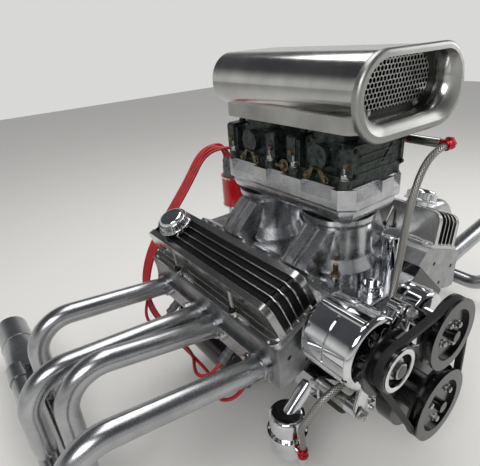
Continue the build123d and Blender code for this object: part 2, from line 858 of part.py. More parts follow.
def make_scoop():
    """Hollow air scoop: skirt, oval tube, bell mouth and rolled lip."""
    def flow(grow):
        """The tube and its bell, larger all round by a distance."""
        tube = oval(tube_half + grow, tube_bottom - grow, tube_top + grow)
        ends = [(tube_half, mouth_half - lip_width), (tube_bottom, mouth_bottom + lip_width),
                (tube_top, mouth_top - lip_width)]
        half, low, high = [a + bell_share * (b - a) for a, b in ends]
        middle = oval(half + grow, low - grow, high + grow)
        half, low, high = [b for a, b in ends]
        mouth = oval(half + grow, low - grow, high + grow)
        straight = extrude(Plane.XZ.offset(tube_rear - grow) * tube,
                           amount=flare_start - tube_rear + grow, dir=(0, -1, 0))
        straight = fillet(straight.edges().group_by(Axis.Y)[-1], tube_end_r + grow)
        bell = loft([Plane.XZ.offset(flare_start) * tube, Plane.XZ.offset(bell_middle) * middle,
                     Plane.XZ.offset(mouth_station) * mouth])
        return straight + bell

    def skirt(inset, low, high):
        outline = RectangleRounded(2 * (skirt_half - inset), skirt_length - 2 * inset,
                                   skirt_corner - inset)
        place = Pos(0, -skirt_start - skirt_length / 2, low)
        return place * extrude(outline, amount=high - low)

    middle = (tube_bottom + tube_top) / 2
    lip = extrude(Plane.XZ.offset(mouth_station - lip_thick)
                  * oval(mouth_half, mouth_bottom, mouth_top), amount=lip_thick, dir=(0, -1, 0))
    lip = fillet(lip.edges(), lip_r)
    scoop = flow(0) + skirt(0, skirt_bottom, middle) + lip
    scoop -= flow(-scoop_wall) + skirt(scoop_wall, skirt_bottom + skirt_plate, middle)
    for station in carb_stations:
        scoop -= rod((0, -station, skirt_bottom - 1),
                     (0, -station, skirt_bottom + skirt_plate + 1), plate_hole_r)
    return scoop


def make_screen():
    """Screen plate across the scoop's throat, with rows of six-sided holes."""
    half = tube_half - scoop_wall - seat
    low, high = tube_bottom + scoop_wall + seat, tube_top - scoop_wall - seat
    middle, radius = (low + high) / 2, (high - low) / 2
    reach = radius - screen_hole_r - screen_rim
    holes = []
    rows = int(reach / (screen_pitch * 0.866))
    for row in range(-rows, rows + 1):
        z = row * screen_pitch * 0.866
        width = half - radius + (reach ** 2 - z ** 2) ** 0.5
        shift = screen_pitch / 2 if row % 2 else 0
        count = int((width - shift) / screen_pitch)
        first = -count if row % 2 == 0 else -count - 1
        for i in range(first, count + 1):
            x = i * screen_pitch + shift
            if abs(x) <= width:
                holes.append(Pos(x, middle + z) * RegularPolygon(screen_hole_r, 6, rotation=30))
    plate = oval(half, low, high) - holes
    return extrude(Plane.XZ.offset(screen_station) * plate, amount=screen_thick,
                   dir=(0, -1, 0))


def make_flange():
    """Header flange plate with a round pad at each port."""
    plate = Rectangle(2 * (exhaust_ports[-1] + flange_end), flange_height)
    for place in exhaust_ports:
        plate += Pos(place, 0) * Circle(flange_pad_r)
    face = Plane(origin=(port_face + seat, 0, port_height), x_dir=(0, -1, 0), z_dir=(1, 0, 0))
    return extrude(face * plate, amount=flange_thick, dir=(1, 0, 0))


def primary_path(number):
    """How far out a tube starts and drops, its height behind, and its rise on the way."""
    reach, low, rise = primary_drops[number]
    return port_face + 2 * seat + flange_thick, reach, low, rise


def make_primary(number, station):
    """One header tube, from the flange to the collector's mouth."""
    start, reach, low, rise = primary_path(number)
    inside = 12
    corners = [(start - inside, -station, port_height - inside * rise),
               (reach, -station, port_height + (reach - start) * rise),
               (reach, -station, low), (reach, -collector_station, low)]
    path = FilletPolyline(*corners, radius=primary_bend)
    tube = sweep(Plane(origin=path @ 0, z_dir=path % 0) * Circle(primary_r), path=path)
    trim = block_of((start - 3 * inside, start), (-station - 40, -station + 40), (60, 200))
    return tube - trim


def make_collector():
    """Four short sockets that cone down to one round outlet."""
    xs = sorted({drop[0] for drop in primary_drops})
    zs = sorted({drop[1] for drop in primary_drops})
    middle = ((xs[0] + xs[1]) / 2, (zs[0] + zs[1]) / 2)
    start = -collector_station + seat
    sockets = [rod((x, start, z), (x, start + collector_socket + 20, z), primary_r + 3)
               for x in xs for z in zs]
    width = xs[1] - xs[0] + 2 * primary_r - 4
    cone_start = start + collector_socket
    square = Pos(*middle) * RectangleRounded(width, width, primary_r + 1)
    cone = loft([Plane.XZ.offset(-cone_start) * square,
                 Plane.XZ.offset(-cone_start - collector_cone) * Pos(*middle)
                 * Circle(collector_r)])
    end = cone_start + collector_cone
    pipe = rod((middle[0], end, middle[1]), (middle[0], end + collector_pipe, middle[1]),
               collector_r)
    bore = rod((middle[0], end - 20, middle[1]),
               (middle[0], end + collector_pipe + 1, middle[1]), collector_r - collector_wall)
    return cone + sockets + pipe - bore


def make_alternator():
    """Alternator: two vented end frames, a seam between them, and two lugs."""
    start, front = alternator_start, alternator_start + alternator_length
    body = disc(alternator_centre, start, alternator_length, alternator_r)
    body = fillet(body.edges().filter_by(GeomType.CIRCLE), case_edge)
    middle = (start + front) / 2
    seam = disc(alternator_centre, middle - seam_width / 2, seam_width, alternator_r + 1)
    body -= seam - disc(alternator_centre, middle - seam_width, 2 * seam_width,
                        alternator_r - seam_depth)
    for angle in case_boss_angles:
        place = lug_centre((angle, case_boss_reach))
        body += disc(place, start + case_edge, alternator_length - 2 * case_edge, case_boss_r)
    x, z = alternator_centre
    for i in range(vent_count):
        turn = Pos(x, z) * Rot(0, 0, 360 * (i + 0.5) / vent_count)
        vent = turn * Pos(vent_reach, 0) * SlotOverall(*vent_size)
        for edge in (start - 1, front - vent_depth):
            body -= extrude(Plane.XZ.offset(edge) * vent, amount=vent_depth + 1, dir=(0, -1, 0))
    body -= disc(alternator_centre, front - 20, 30, 12)
    for place in (low_lug, high_lug):
        lug = lug_centre(place)
        body += disc(lug, front - lug_depth, lug_depth, lug_r)
        near = lug_centre((place[0], alternator_r - 14))
        web = rod((near[0], -front + 2, near[1]), (lug[0], -front + 2, lug[1]), lug_r - 1)
        body += web & disc(alternator_centre, front - lug_depth, lug_depth, 2 * alternator_r)
        body -= disc(lug, front - lug_depth - 1, lug_depth + 30, lug_bolt_r)
    return body


def lug_centre(place):
    """A place on the alternator, from an angle and a reach, in x and z."""
    a = radians(place[0])
    return (alternator_centre[0] + place[1] * cos(a), alternator_centre[1] + place[1] * sin(a))


def make_alternator_pulley():
    """Pulley, bladed cooling fan and the shaft end that carries them."""
    front = alternator_start + alternator_length
    rear = belt_station - belt_width / 2 - pulley_flange
    plate = rear - fan_plate
    fan = disc(alternator_centre, plate, fan_plate + 1, fan_r)
    x, z = alternator_centre
    length, thick = blade_size
    for i in range(blade_count):
        turn = Pos(x, z) * Rot(0, 0, 360 * i / blade_count)
        blade = turn * Pos(fan_r - length / 2 - 2, 0) * Rot(0, 0, blade_pitch)
        face = Plane.XZ.offset(front + fan_gap) * blade * Rectangle(length, thick)
        fan += extrude(face, amount=plate - front - fan_gap + 1, dir=(0, -1, 0))
    hub = disc(alternator_centre, front - 15, rear - front + 16, 12 - running)
    return fan + hub + make_pulley(alternator_centre, alternator_pulley_r, 11)


def make_bracket():
    """Strap on the block's front with a long spacer to the alternator's lower lug."""
    start = block_length + seat
    lug = lug_centre(low_lug)
    end = alternator_start + alternator_length - lug_depth - seat
    dx, dz = lug[0] - bracket_foot[0], lug[1] - bracket_foot[1]
    place = Pos((lug[0] + bracket_foot[0]) / 2, (lug[1] + bracket_foot[1]) / 2)
    place *= Rot(0, 0, degrees(atan2(dz, dx)))
    strap = place * SlotCenterToCenter(hypot(dx, dz), 2 * bracket_r + 2)
    strap = extrude(Plane.XZ.offset(start) * strap, amount=bracket_thick, dir=(0, -1, 0))
    return strap + disc(lug, start, end - start, bracket_r)


def arm_end():
    """Where the adjusting arm meets the water pump, in x and z."""
    pivot, lug = lug_centre(low_lug), lug_centre(high_lug)
    dx, dz = lug[0] - pivot[0], lug[1] - pivot[1]
    angle = atan2(dz, dx) - radians(arm_sweep)
    reach = hypot(dx, dz)
    return (pivot[0] + reach * cos(angle), pivot[1] + reach * sin(angle))


def make_arm():
    """Curved adjusting arm, slotted about the alternator's lower lug."""
    pivot, lug = lug_centre(low_lug), lug_centre(high_lug)
    dx, dz = lug[0] - pivot[0], lug[1] - pivot[1]
    reach, angle = hypot(dx, dz), degrees(atan2(dz, dx))
    start = alternator_start + alternator_length + seat
    arc = CenterArc(pivot, reach, angle - arm_sweep, arm_sweep + slot_sweep / 2)
    groove = CenterArc(pivot, reach, angle - slot_sweep, slot_sweep + slot_sweep / 4)
    strap = SlotArc(arc, arm_width) - SlotArc(groove, 2 * lug_bolt_r)
    return extrude(Plane.XZ.offset(start) * strap, amount=arm_thick, dir=(0, -1, 0))


def make_water_pump():
    """Pump body with two legs to the block, a nose for the pulley and a boss for the arm."""
    start = block_length + seat
    x, z = pump_centre
    leg = z - pump_leg_drop
    body = disc(pump_centre, start + pump_leg_length - 2, pump_body_depth, pump_body_r)
    body = fillet(body.edges().filter_by(GeomType.CIRCLE), pump_body_depth / 5)
    for side in (-1, 1):
        place = side * pump_leg_half
        body += disc((place, leg), start, pump_leg_length, pump_leg_r)
        body += rod((place, -start - pump_leg_length / 2, leg),
                    (place / 2, -start - 1.5 * pump_leg_length, z), pump_leg_r - 4)
    rear = belt_station - belt_width / 2 - pulley_flange
    body += disc(pump_centre, start + pump_leg_length, rear - start - pump_leg_length
                 - pump_nose_gap, pump_nose_r)
    boss = alternator_start + alternator_length
    end = arm_end()
    root = start + pump_leg_length + 6
    body += disc(end, root, boss - root, arm_width / 2)
    return body - disc(pump_centre, rear - 40, 60, 9)


def make_pump_pulley():
    """Water pump pulley on the pump's shaft."""
    rear = belt_station - belt_width / 2 - pulley_flange
    shaft = disc(pump_centre, rear - 38, 40, 9 - running)
    return make_pulley(pump_centre, pump_pulley_r, 11) + shaft


def make_thermostat():
    """Water outlet on the intake's front: a flange and a short open neck."""
    y = thermostat_inset - base_start - base_length - apron_length
    x, low = thermostat_x, apron_top + seat
    radius, thick = thermostat_flange
    inner, height = thermostat_neck
    outlet = rod((x, y, low), (x, y, low + thick), radius)
    outlet += rod((x, y, low), (x, y, low + thick + height), inner)
    return outlet - rod((x, y, low + thick), (x, y, low + thick + height + 1),
                        inner - thermostat_wall)


def make_filler():
    """Oil filler tube with its domed cap."""
    x, station = filler_place
    radius, height = filler_cap
    tube = rod((x, -station, apron_top + seat), (x, -station, filler_top), filler_r)
    cap = Cylinder(radius, height, align=(Align.CENTER, Align.CENTER, Align.MIN))
    cap = fillet(cap.edges().group_by(Axis.Z)[-1], filler_cap_edge)
    return tube + Pos(x, -station, filler_top - 1) * cap


def make_magneto():
    """Red magneto body on a bright base."""
    y = -magneto_station
    base = rod((0, y, pedestal_top + seat), (0, y, magneto_low + 1), magneto_base_r)
    return base + rod((0, y, magneto_low), (0, y, magneto_high), magneto_r)


def tower_place(number):
    """The middle of a lead tower on the magneto, in x and y."""
    a = radians(360 * (number + 0.5) / tower_count)
    return (tower_reach * cos(a), -magneto_station + tower_reach * sin(a))


def tower_top():
    """The height at which a lead leaves its tower."""
    return magneto_high + seat + cap_height + tower_height


def make_magneto_cap():
    """Distributor cap with eight lead towers."""
    y = -magneto_station
    low = magneto_high + seat
    cap = rod((0, y, low), (0, y, low + cap_height), magneto_r - cap_inset)
    cap = fillet(cap.edges().group_by(Axis.Z)[-1], cap_inset / 2) if cap_inset else cap
    for i in range(tower_count):
        x, y = tower_place(i)
        cap += rod((x, y, low + cap_height - 1), (x, y, tower_top()), tower_r)
    return cap


def make_plugs():
    """Four spark plugs with their boots, out of the head's underside."""
    plugs = []
    for place in plug_places:
        root, along = plug_axis(place)
        plug = rod(root - along * (plug_depth - seat), root + along * 22, plug_r)
        plugs.append(plug + rod(root + along * 21, root + along * (21 + boot_length), boot_r))
    return Part() + plugs


def make_cord(name, points, radius):
    """A round cord along straight runs, with an arc as large as fits at each corner."""
    radii = []
    for a, b, c in zip(points, points[1:], points[2:]):
        run, following = Vector(*b) - Vector(*a), Vector(*c) - Vector(*b)
        turn = radians(run.get_angle(following))
        radii.append(0.45 * min(run.length, following.length) / tan(turn / 2))
    path = FilletPolyline(*points, radius=radii)
    cord = sweep(Plane(origin=path @ 0, z_dir=path % 0) * Circle(radius), path=path)
    share = cord.volume / (pi * radius ** 2 * path.length)
    print(f"{name}: {path.length:.0f} mm long, volume {share:.4f} of section times length,",
          "radii", [round(r) for r in radii])
    return cord


def lead_points(number, side):
    """The way of one plug lead on the left side, from its tower to its boot."""
    # towers in order from the front, and the lead's place in the row of four
    order = [247.5, 202.5, 157.5, 112.5]
    a = radians(order[number])
    tx, ty = -tower_reach * cos(a), -magneto_station + tower_reach * sin(a)
    top = tower_top()
    y = lead_first + number * lead_pitch
    first_x, first_z = lead_way[0]
    dx, dy = first_x - tx, (y - ty) * (lead_spread if number == 0 else 1)
    size = hypot(dx, dy)
    points = [(tx, ty, top), (tx, ty, top + 28),
              (tx + dx / size * 24, ty + dy / size * 24, top + 46)]
    points += [(x, y + 2 * (i % 2), z) for i, (x, z) in enumerate(lead_way)]
    low = lead_run_top - number * lead_pitch
    x = lead_run_x
    middle = head_start + head_length / 2 + (bank_offset if side > 0 else 0)
    root, along = plug_axis(middle + plug_places[number])
    end = root + along * (21 + boot_length)
    near = end + along * 28
    turn = near + Vector(along.X * 0.7071, 0.7071, along.Z * 0.7071) * 34
    finish = [tuple(turn), tuple(near), tuple(end)]
    if number == 0:
        bend = (turn.X - 1, (turn.Y + y) / 2 + 2, turn.Z + 16)
        return points + [(x + 9, y - 7, bend[2] + 30), bend] + finish
    points += [(x, y, low + 62), (x + 1, y - 13, low + 24), (x, y - 42, low + 4)]
    last = (turn.X - 4, turn.Y + 32, turn.Z - (turn.Z - low) * 0.45)
    start_y, end_y = y - 42, last[1] + 52
    count = max(1, round((start_y - end_y) / 85))
    for i in range(1, count + 1):
        points.append((x + (i % 2) * 2, start_y + (end_y - start_y) * i / count, low + (i % 2) * 2))
    return points + [last] + finish


def make_lead(number, side):
    """One plug lead, drawn for the left side."""
    name = f"plug lead {number + 1} {'left' if side > 0 else 'right'}"
    return make_cord(name, lead_points(number, side), lead_r)


def make_fuel_line():
    """Braided fuel line."""
    return make_cord("fuel line", line_way, line_r)


def make_line_end(end, near, root, foot):
    """Hose end on the fuel line, and the stem from a root to the foot it screws onto."""
    a, b = Vector(*end), Vector(*near)
    along = (a - b).normalized()
    return rod(a, a + along * fitting_length, fitting_r) + rod(root, foot, log_r - 1)


def make_starter():
    """Starter motor with its nose, below the block's right rear."""
    x, z = starter_centre
    end = starter_start + starter_length
    body = rod((x, -end, z), (x, -starter_start, z), starter_r)
    body = fillet(body.edges().filter_by(GeomType.CIRCLE), 6)
    nose = rod((x, -starter_start - 8, z), (x, -4, z), starter_nose_r)
    pad = block_of((x - 30, x + 30), (-13.5, -0.5), (z, -bell_drop - seat))
    return body + nose + pad


def make_filter():
    """Spin-on oil filter, below its boss on the block's left rear."""
    x, station = filter_place
    top = filter_top - seat
    can = rod((x, -station, top - filter_length), (x, -station, top), filter_r)
    return fillet(can.edges().group_by(Axis.Z)[0], 10)


def make_mount():
    """Engine mount: a plate on the block's side with two ears and a bore."""
    face = pad_out + seat
    rear, front = -mount_start, -mount_start - mount_length
    plate = block_of((face, face + 9), (front, rear), (pad_low, pad_high))
    pin_x, pin_z = face + mount_pin_out, pad_high - mount_pin_drop
    outer = face + mount_ear
    for y in (front + 12, rear - 12):
        round_r = outer - pin_x
        plate += block_of((face + 8, pin_x), (y - 5, y + 5), (pin_z - round_r, pin_z + round_r))
        plate += rod((pin_x, y - 5, pin_z), (pin_x, y + 5, pin_z), round_r)
    return plate - rod((pin_x, front - 5, pin_z), (pin_x, rear + 5, pin_z), mount_pin_r)


def pump_outlet():
    """The seat of the fuel line's lower end on the pump."""
    x, y, z = line_way[-1]
    return (x, y, z - fitting_length - seat)


def make_fuel_pump():
    """Mechanical fuel pump on the block's right front side."""
    face = -pad_out - seat
    y = -pump_pad_start - pump_pad_length / 2
    foot = block_of((face - pump_plate, face), (y - pump_plate_half, y + pump_plate_half),
                    (pad_low, pad_high - 2))
    out, radius, low, high = pump_can
    x = -pad_out - out
    arm = rod((face - 2, y, pad_low + pump_arm_r + 2), (x, y, high - pump_arm_r), pump_arm_r)
    can = Pos(x, y, low) * Cylinder(radius, high - low,
                                    align=(Align.CENTER, Align.CENTER, Align.MIN))
    can = fillet(can.edges().filter_by(GeomType.CIRCLE), pump_can_edge)
    ring = rod((x, y, (low + high) / 2), (x, y, (low + high) / 2 + 8), radius + 5)
    sx, sy, sz = pump_outlet()
    boss = rod((sx, sy, sz - 18), (sx, sy, sz), fitting_r)
    neck = rod((x, y, sz - 9), (sx, sy, sz - 9), 8)
    trim = block_of((face, 0), (y - 60, y + 60), (-60, pad_high))
    return foot + (arm - trim) + can + ring + boss + neck


def make_sensor():
    """Brass temperature sensor in the intake's front right corner."""
    y = sensor_inset - base_start - base_length
    x, low = sensor_x, base_top + sensor_boss_height + seat
    radius, height = sensor_hex
    hexagon = extrude(Pos(x, y, low) * RegularPolygon(radius, 6), amount=height)
    return hexagon + rod((x, y, low + height - 1), (x, y, low + sensor_tip[1]), sensor_tip[0])


def make_fuel_log():
    """Fuel log along the carburettors' left side, with an inlet to each bowl."""
    x, z = log_place
    front = carb_stations[-1] + carb_half() + log_reach
    rear = carb_stations[0] - carb_half()
    log = rod((x, -rear, z), (x, -front, z), log_r)
    for station in carb_stations:
        for end in (-1, 1):
            y = -station + end * (carb_half() - bowl[1] / 2)
            log += rod((bowl[0] / 2 + seat, y, z), (x, y, z), inlet_r)
    return log


def make_linkage():
    """Rod and two arms that join the throttle shafts."""
    x = carb_base[0] / 2 + seat
    z = rim_top + link_height
    out = x + link_out
    link = rod((out, -carb_stations[0], z), (out, -carb_stations[1], z), link_r)
    for station in carb_stations:
        link += rod((x, -station, z), (out + link_r, -station, z), 2 * link_r)
    return link


banks = {"right": -1, "left": 1}


def build():
    """Writes every piece to its own file."""
    os.makedirs("parts", exist_ok=True)
    save("block", make_block())
    save("oil_pan", make_pan())
    save("timing_cover", make_timing_cover())
    save("crankshaft", make_crankshaft())
    save("flexplate", make_flexplate())
    save("crank_damper", make_damper())
    save("belt", make_belt())
    save("water_pump", make_water_pump())
    save("water_pump_pulley", make_pump_pulley())
    save("alternator", make_alternator())
    save("alternator_pulley", make_alternator_pulley())
    save("alternator_bracket", make_bracket())
    save("alternator_arm", make_arm())
    save("intake_base", make_intake_base())
    save("plenum", make_plenum())
    for name, station in zip(("carb_rear", "carb_front"), carb_stations):
        save(name, make_carb(station))
    save("scoop", make_scoop())
    save("scoop_screen", make_screen())
    save("magneto", make_magneto())
    save("magneto_cap", make_magneto_cap())
    save("thermostat_housing", make_thermostat())
    save("oil_filler", make_filler())
    save("starter", make_starter())
    save("oil_filter", make_filter())
    save("fuel_pump", make_fuel_pump())
    save("fuel_log", make_fuel_log())
    save("fuel_line", make_fuel_line())
    x, z = log_place
    front = carb_stations[-1] + carb_half() + log_reach
    save("fuel_fitting_upper", make_line_end(line_way[0], line_way[1],
                                             (x, line_way[0][1], z), (x, -front - seat, z)))
    sx, sy, sz = pump_outlet()
    save("fuel_fitting_lower", make_line_end(line_way[-1], line_way[-2],
                                             (sx, sy, sz + 9), (sx, sy, sz + seat)))
    save("throttle_linkage", make_linkage())
    save("temperature_sensor", make_sensor())
    for bank, side in banks.items():
        shift = bank_offset if side > 0 else 0.0
        middle = head_start + head_length / 2 + shift
        place = Pos(0, -shift, 0)
        save(f"head_{bank}", on_side(place * make_head(), side))
        cover = cover_plane(middle).location * make_cover()
        save(f"valve_cover_{bank}", on_side(cover, side))
        end = breather_place - cover_length / 2 if side < 0 else cover_length / 2 - breather_place
        top = Pos(0, -end, cover_height + fin_height + 2 * seat)
        breather = cover_plane(middle).location * top * make_breather()
        save(f"breather_{bank}", on_side(breather, side))
        save(f"header_flange_{bank}", on_side(Pos(0, -middle, 0) * make_flange(), side))
        tubes = [make_primary(i, middle + port) for i, port in enumerate(exhaust_ports)]
        save(f"primaries_{bank}", on_side(Part() + tubes, side))
        save(f"collector_{bank}", on_side(make_collector(), side))
        save(f"spark_plugs_{bank}", on_side(Pos(0, -middle, 0) * make_plugs(), side))
        save(f"engine_mount_{bank}", on_side(make_mount(), side))
        for number in range(len(plug_places)):
            save(f"plug_lead_{bank}_{number + 1}", on_side(make_lead(number, side), side))


build()
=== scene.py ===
import bpy
import bmesh
import json
from math import atan2, cos, pi, radians, sin, sqrt
from mathutils import Matrix, Vector

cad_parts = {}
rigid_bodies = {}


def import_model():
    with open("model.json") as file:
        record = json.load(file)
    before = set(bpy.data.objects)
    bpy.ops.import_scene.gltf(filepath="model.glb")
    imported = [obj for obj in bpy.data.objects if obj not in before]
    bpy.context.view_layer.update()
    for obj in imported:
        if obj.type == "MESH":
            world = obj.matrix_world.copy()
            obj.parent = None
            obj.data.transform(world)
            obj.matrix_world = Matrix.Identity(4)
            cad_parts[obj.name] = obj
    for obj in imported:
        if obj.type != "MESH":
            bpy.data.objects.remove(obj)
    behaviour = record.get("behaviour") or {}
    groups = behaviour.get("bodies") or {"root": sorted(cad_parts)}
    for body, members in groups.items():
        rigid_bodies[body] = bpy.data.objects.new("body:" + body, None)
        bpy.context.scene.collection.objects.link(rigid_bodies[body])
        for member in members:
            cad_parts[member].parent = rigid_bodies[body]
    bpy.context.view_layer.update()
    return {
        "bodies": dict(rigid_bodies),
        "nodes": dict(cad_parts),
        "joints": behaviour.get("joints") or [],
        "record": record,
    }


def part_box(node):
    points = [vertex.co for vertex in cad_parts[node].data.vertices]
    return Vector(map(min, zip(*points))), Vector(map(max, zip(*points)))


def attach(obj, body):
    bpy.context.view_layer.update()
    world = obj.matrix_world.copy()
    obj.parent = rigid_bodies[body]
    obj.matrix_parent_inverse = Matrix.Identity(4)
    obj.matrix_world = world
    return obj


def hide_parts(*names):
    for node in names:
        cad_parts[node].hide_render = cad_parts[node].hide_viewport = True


# A V8 engine with a tunnel ram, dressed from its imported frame. Metres throughout.
# The front faces -Y, up is +Z, and the engine's left side is +X.

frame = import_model()
nodes = frame["nodes"]
mm = 0.001
print("frame loaded:", len(nodes), "nodes")


def makeCamera():
    # where the photographer stood: beside the right header, above the valve covers
    view = dict(place=(-0.6439, -0.9230, 0.6965), azimuth=35.01, down=25.6, roll=-4.36, lens=31.44)
    a, e, t = (radians(view[k]) for k in ("azimuth", "down", "roll"))
    ahead = Vector((sin(a) * cos(e), cos(a) * cos(e), -sin(e)))
    across = ahead.cross(Vector((0, 0, 1))).normalized()
    up = across.cross(ahead)
    right = across * cos(t) + up * sin(t)
    top = up * cos(t) - across * sin(t)
    data = bpy.data.cameras.new("photo camera")
    data.lens = view["lens"]
    data.clip_start = 0.01
    camera = bpy.data.objects.new("photo camera", data)
    turn = Matrix((right, top, -ahead)).transposed().to_4x4()
    camera.matrix_world = Matrix.Translation(view["place"]) @ turn
    bpy.context.scene.collection.objects.link(camera)
    bpy.context.scene.camera = camera


makeCamera()


# Colour and nodes

def toLinear(code, alpha=1.0):
    channels = [int(code[i:i + 2], 16) / 255 for i in (1, 3, 5)]
    return [c / 12.92 if c <= 0.04045 else ((c + 0.055) / 1.055) ** 2.4 for c in channels] + [alpha]


def addNode(tree, kind, inputs=None, **settings):
    node = tree.nodes.new(kind)
    for key, value in settings.items():
        setattr(node, key, value)
    for key, value in (inputs or {}).items():
        if isinstance(value, bpy.types.NodeSocket):
            tree.links.new(value, node.inputs[key])
        else:
            node.inputs[key].default_value = value
    return node


def mixColour(tree, factor, first, second):
    node = addNode(tree, "ShaderNodeMix", data_type="RGBA")
    for key, value in ((0, factor), (6, first), (7, second)):
        if isinstance(value, bpy.types.NodeSocket):
            tree.links.new(value, node.inputs[key])
        else:
            node.inputs[key].default_value = value
    return node.outputs[2]


def sums(tree, kind, *values):
    node = addNode(tree, "ShaderNodeMath", {i: v for i, v in enumerate(values)}, operation=kind)
    return node.outputs[0]


def startMaterial(name, **shader):
    material = bpy.data.materials.new(name)
    material.use_nodes = True
    tree = material.node_tree
    tree.nodes.clear()
    out = addNode(tree, "ShaderNodeOutputMaterial")
    surface = addNode(tree, "ShaderNodeBsdfPrincipled", shader)
    tree.links.new(surface.outputs["BSDF"], out.inputs["Surface"])
    return material, tree, surface


def softEdge(tree, size):
    # rounds the light on sharp edges by a size in millimetres, and finds where they are
    bevel = addNode(tree, "ShaderNodeBevel", {"Radius": size * mm}, samples=4)
    plain = addNode(tree, "ShaderNodeNewGeometry")
    match = addNode(tree, "ShaderNodeVectorMath", {0: bevel.outputs[0], 1: plain.outputs["Normal"]},
                    operation="DOT_PRODUCT")
    edge = addNode(tree, "ShaderNodeMapRange",
                   {"Value": match.outputs["Value"], "From Min": 0.995, "From Max": 0.85,
                    "To Min": 0.0, "To Max": 1.0})
    return bevel.outputs[0], edge.outputs[0]


def metalFinish(name, look):
    # grain: a fine noise that breaks the gloss, and a soft one that shifts the tone
    material, tree, surface = startMaterial(name, Metallic=look.get("metallic", 1.0))
    place = addNode(tree, "ShaderNodeTexCoord").outputs["Object"]
    stretch = addNode(tree, "ShaderNodeMapping", {"Vector": place, "Scale": look.get("stretch", (1, 1, 1))})
    fine = addNode(tree, "ShaderNodeTexNoise",
                   {"Vector": stretch.outputs[0], "Scale": 1 / (look["grain"] * mm), "Detail": 4.0})
    broad = addNode(tree, "ShaderNodeTexNoise",
                    {"Vector": place, "Scale": 1 / (look["blotch"] * mm), "Detail": 3.0})
    level = addNode(tree, "ShaderNodeMapRange",
                    {"Value": broad.outputs[0], "From Min": 0.3, "From Max": 0.7})
    colour = mixColour(tree, level.outputs[0], toLinear(look["dark"]), toLinear(look["light"]))
    normal, edge = softEdge(tree, look.get("edge", 0.6))
    worn = sums(tree, "MULTIPLY", edge, look.get("wear", 0.35))
    colour = mixColour(tree, worn, colour, toLinear(look.get("bare", look["light"])))
    tree.links.new(colour, surface.inputs["Base Color"])
    gloss = addNode(tree, "ShaderNodeMapRange",
                    {"Value": fine.outputs[0], "From Min": 0.3, "From Max": 0.7,
                     "To Min": look["rough"][0], "To Max": look["rough"][1]})
    smear = sums(tree, "MULTIPLY_ADD", broad.outputs[0], look.get("smear", 0.08), gloss.outputs[0])
    tree.links.new(smear, surface.inputs["Roughness"])
    bump = addNode(tree, "ShaderNodeBump", {"Height": fine.outputs[0], "Distance": look["depth"] * mm,
                                            "Strength": look.get("strength", 0.3), "Normal": normal})
    tree.links.new(bump.outputs[0], surface.inputs["Normal"])
    if look.get("coat"):
        surface.inputs["Coat Weight"].default_value = look["coat"]
        surface.inputs["Coat Roughness"].default_value = look.get("coatRough", 0.05)
    return material


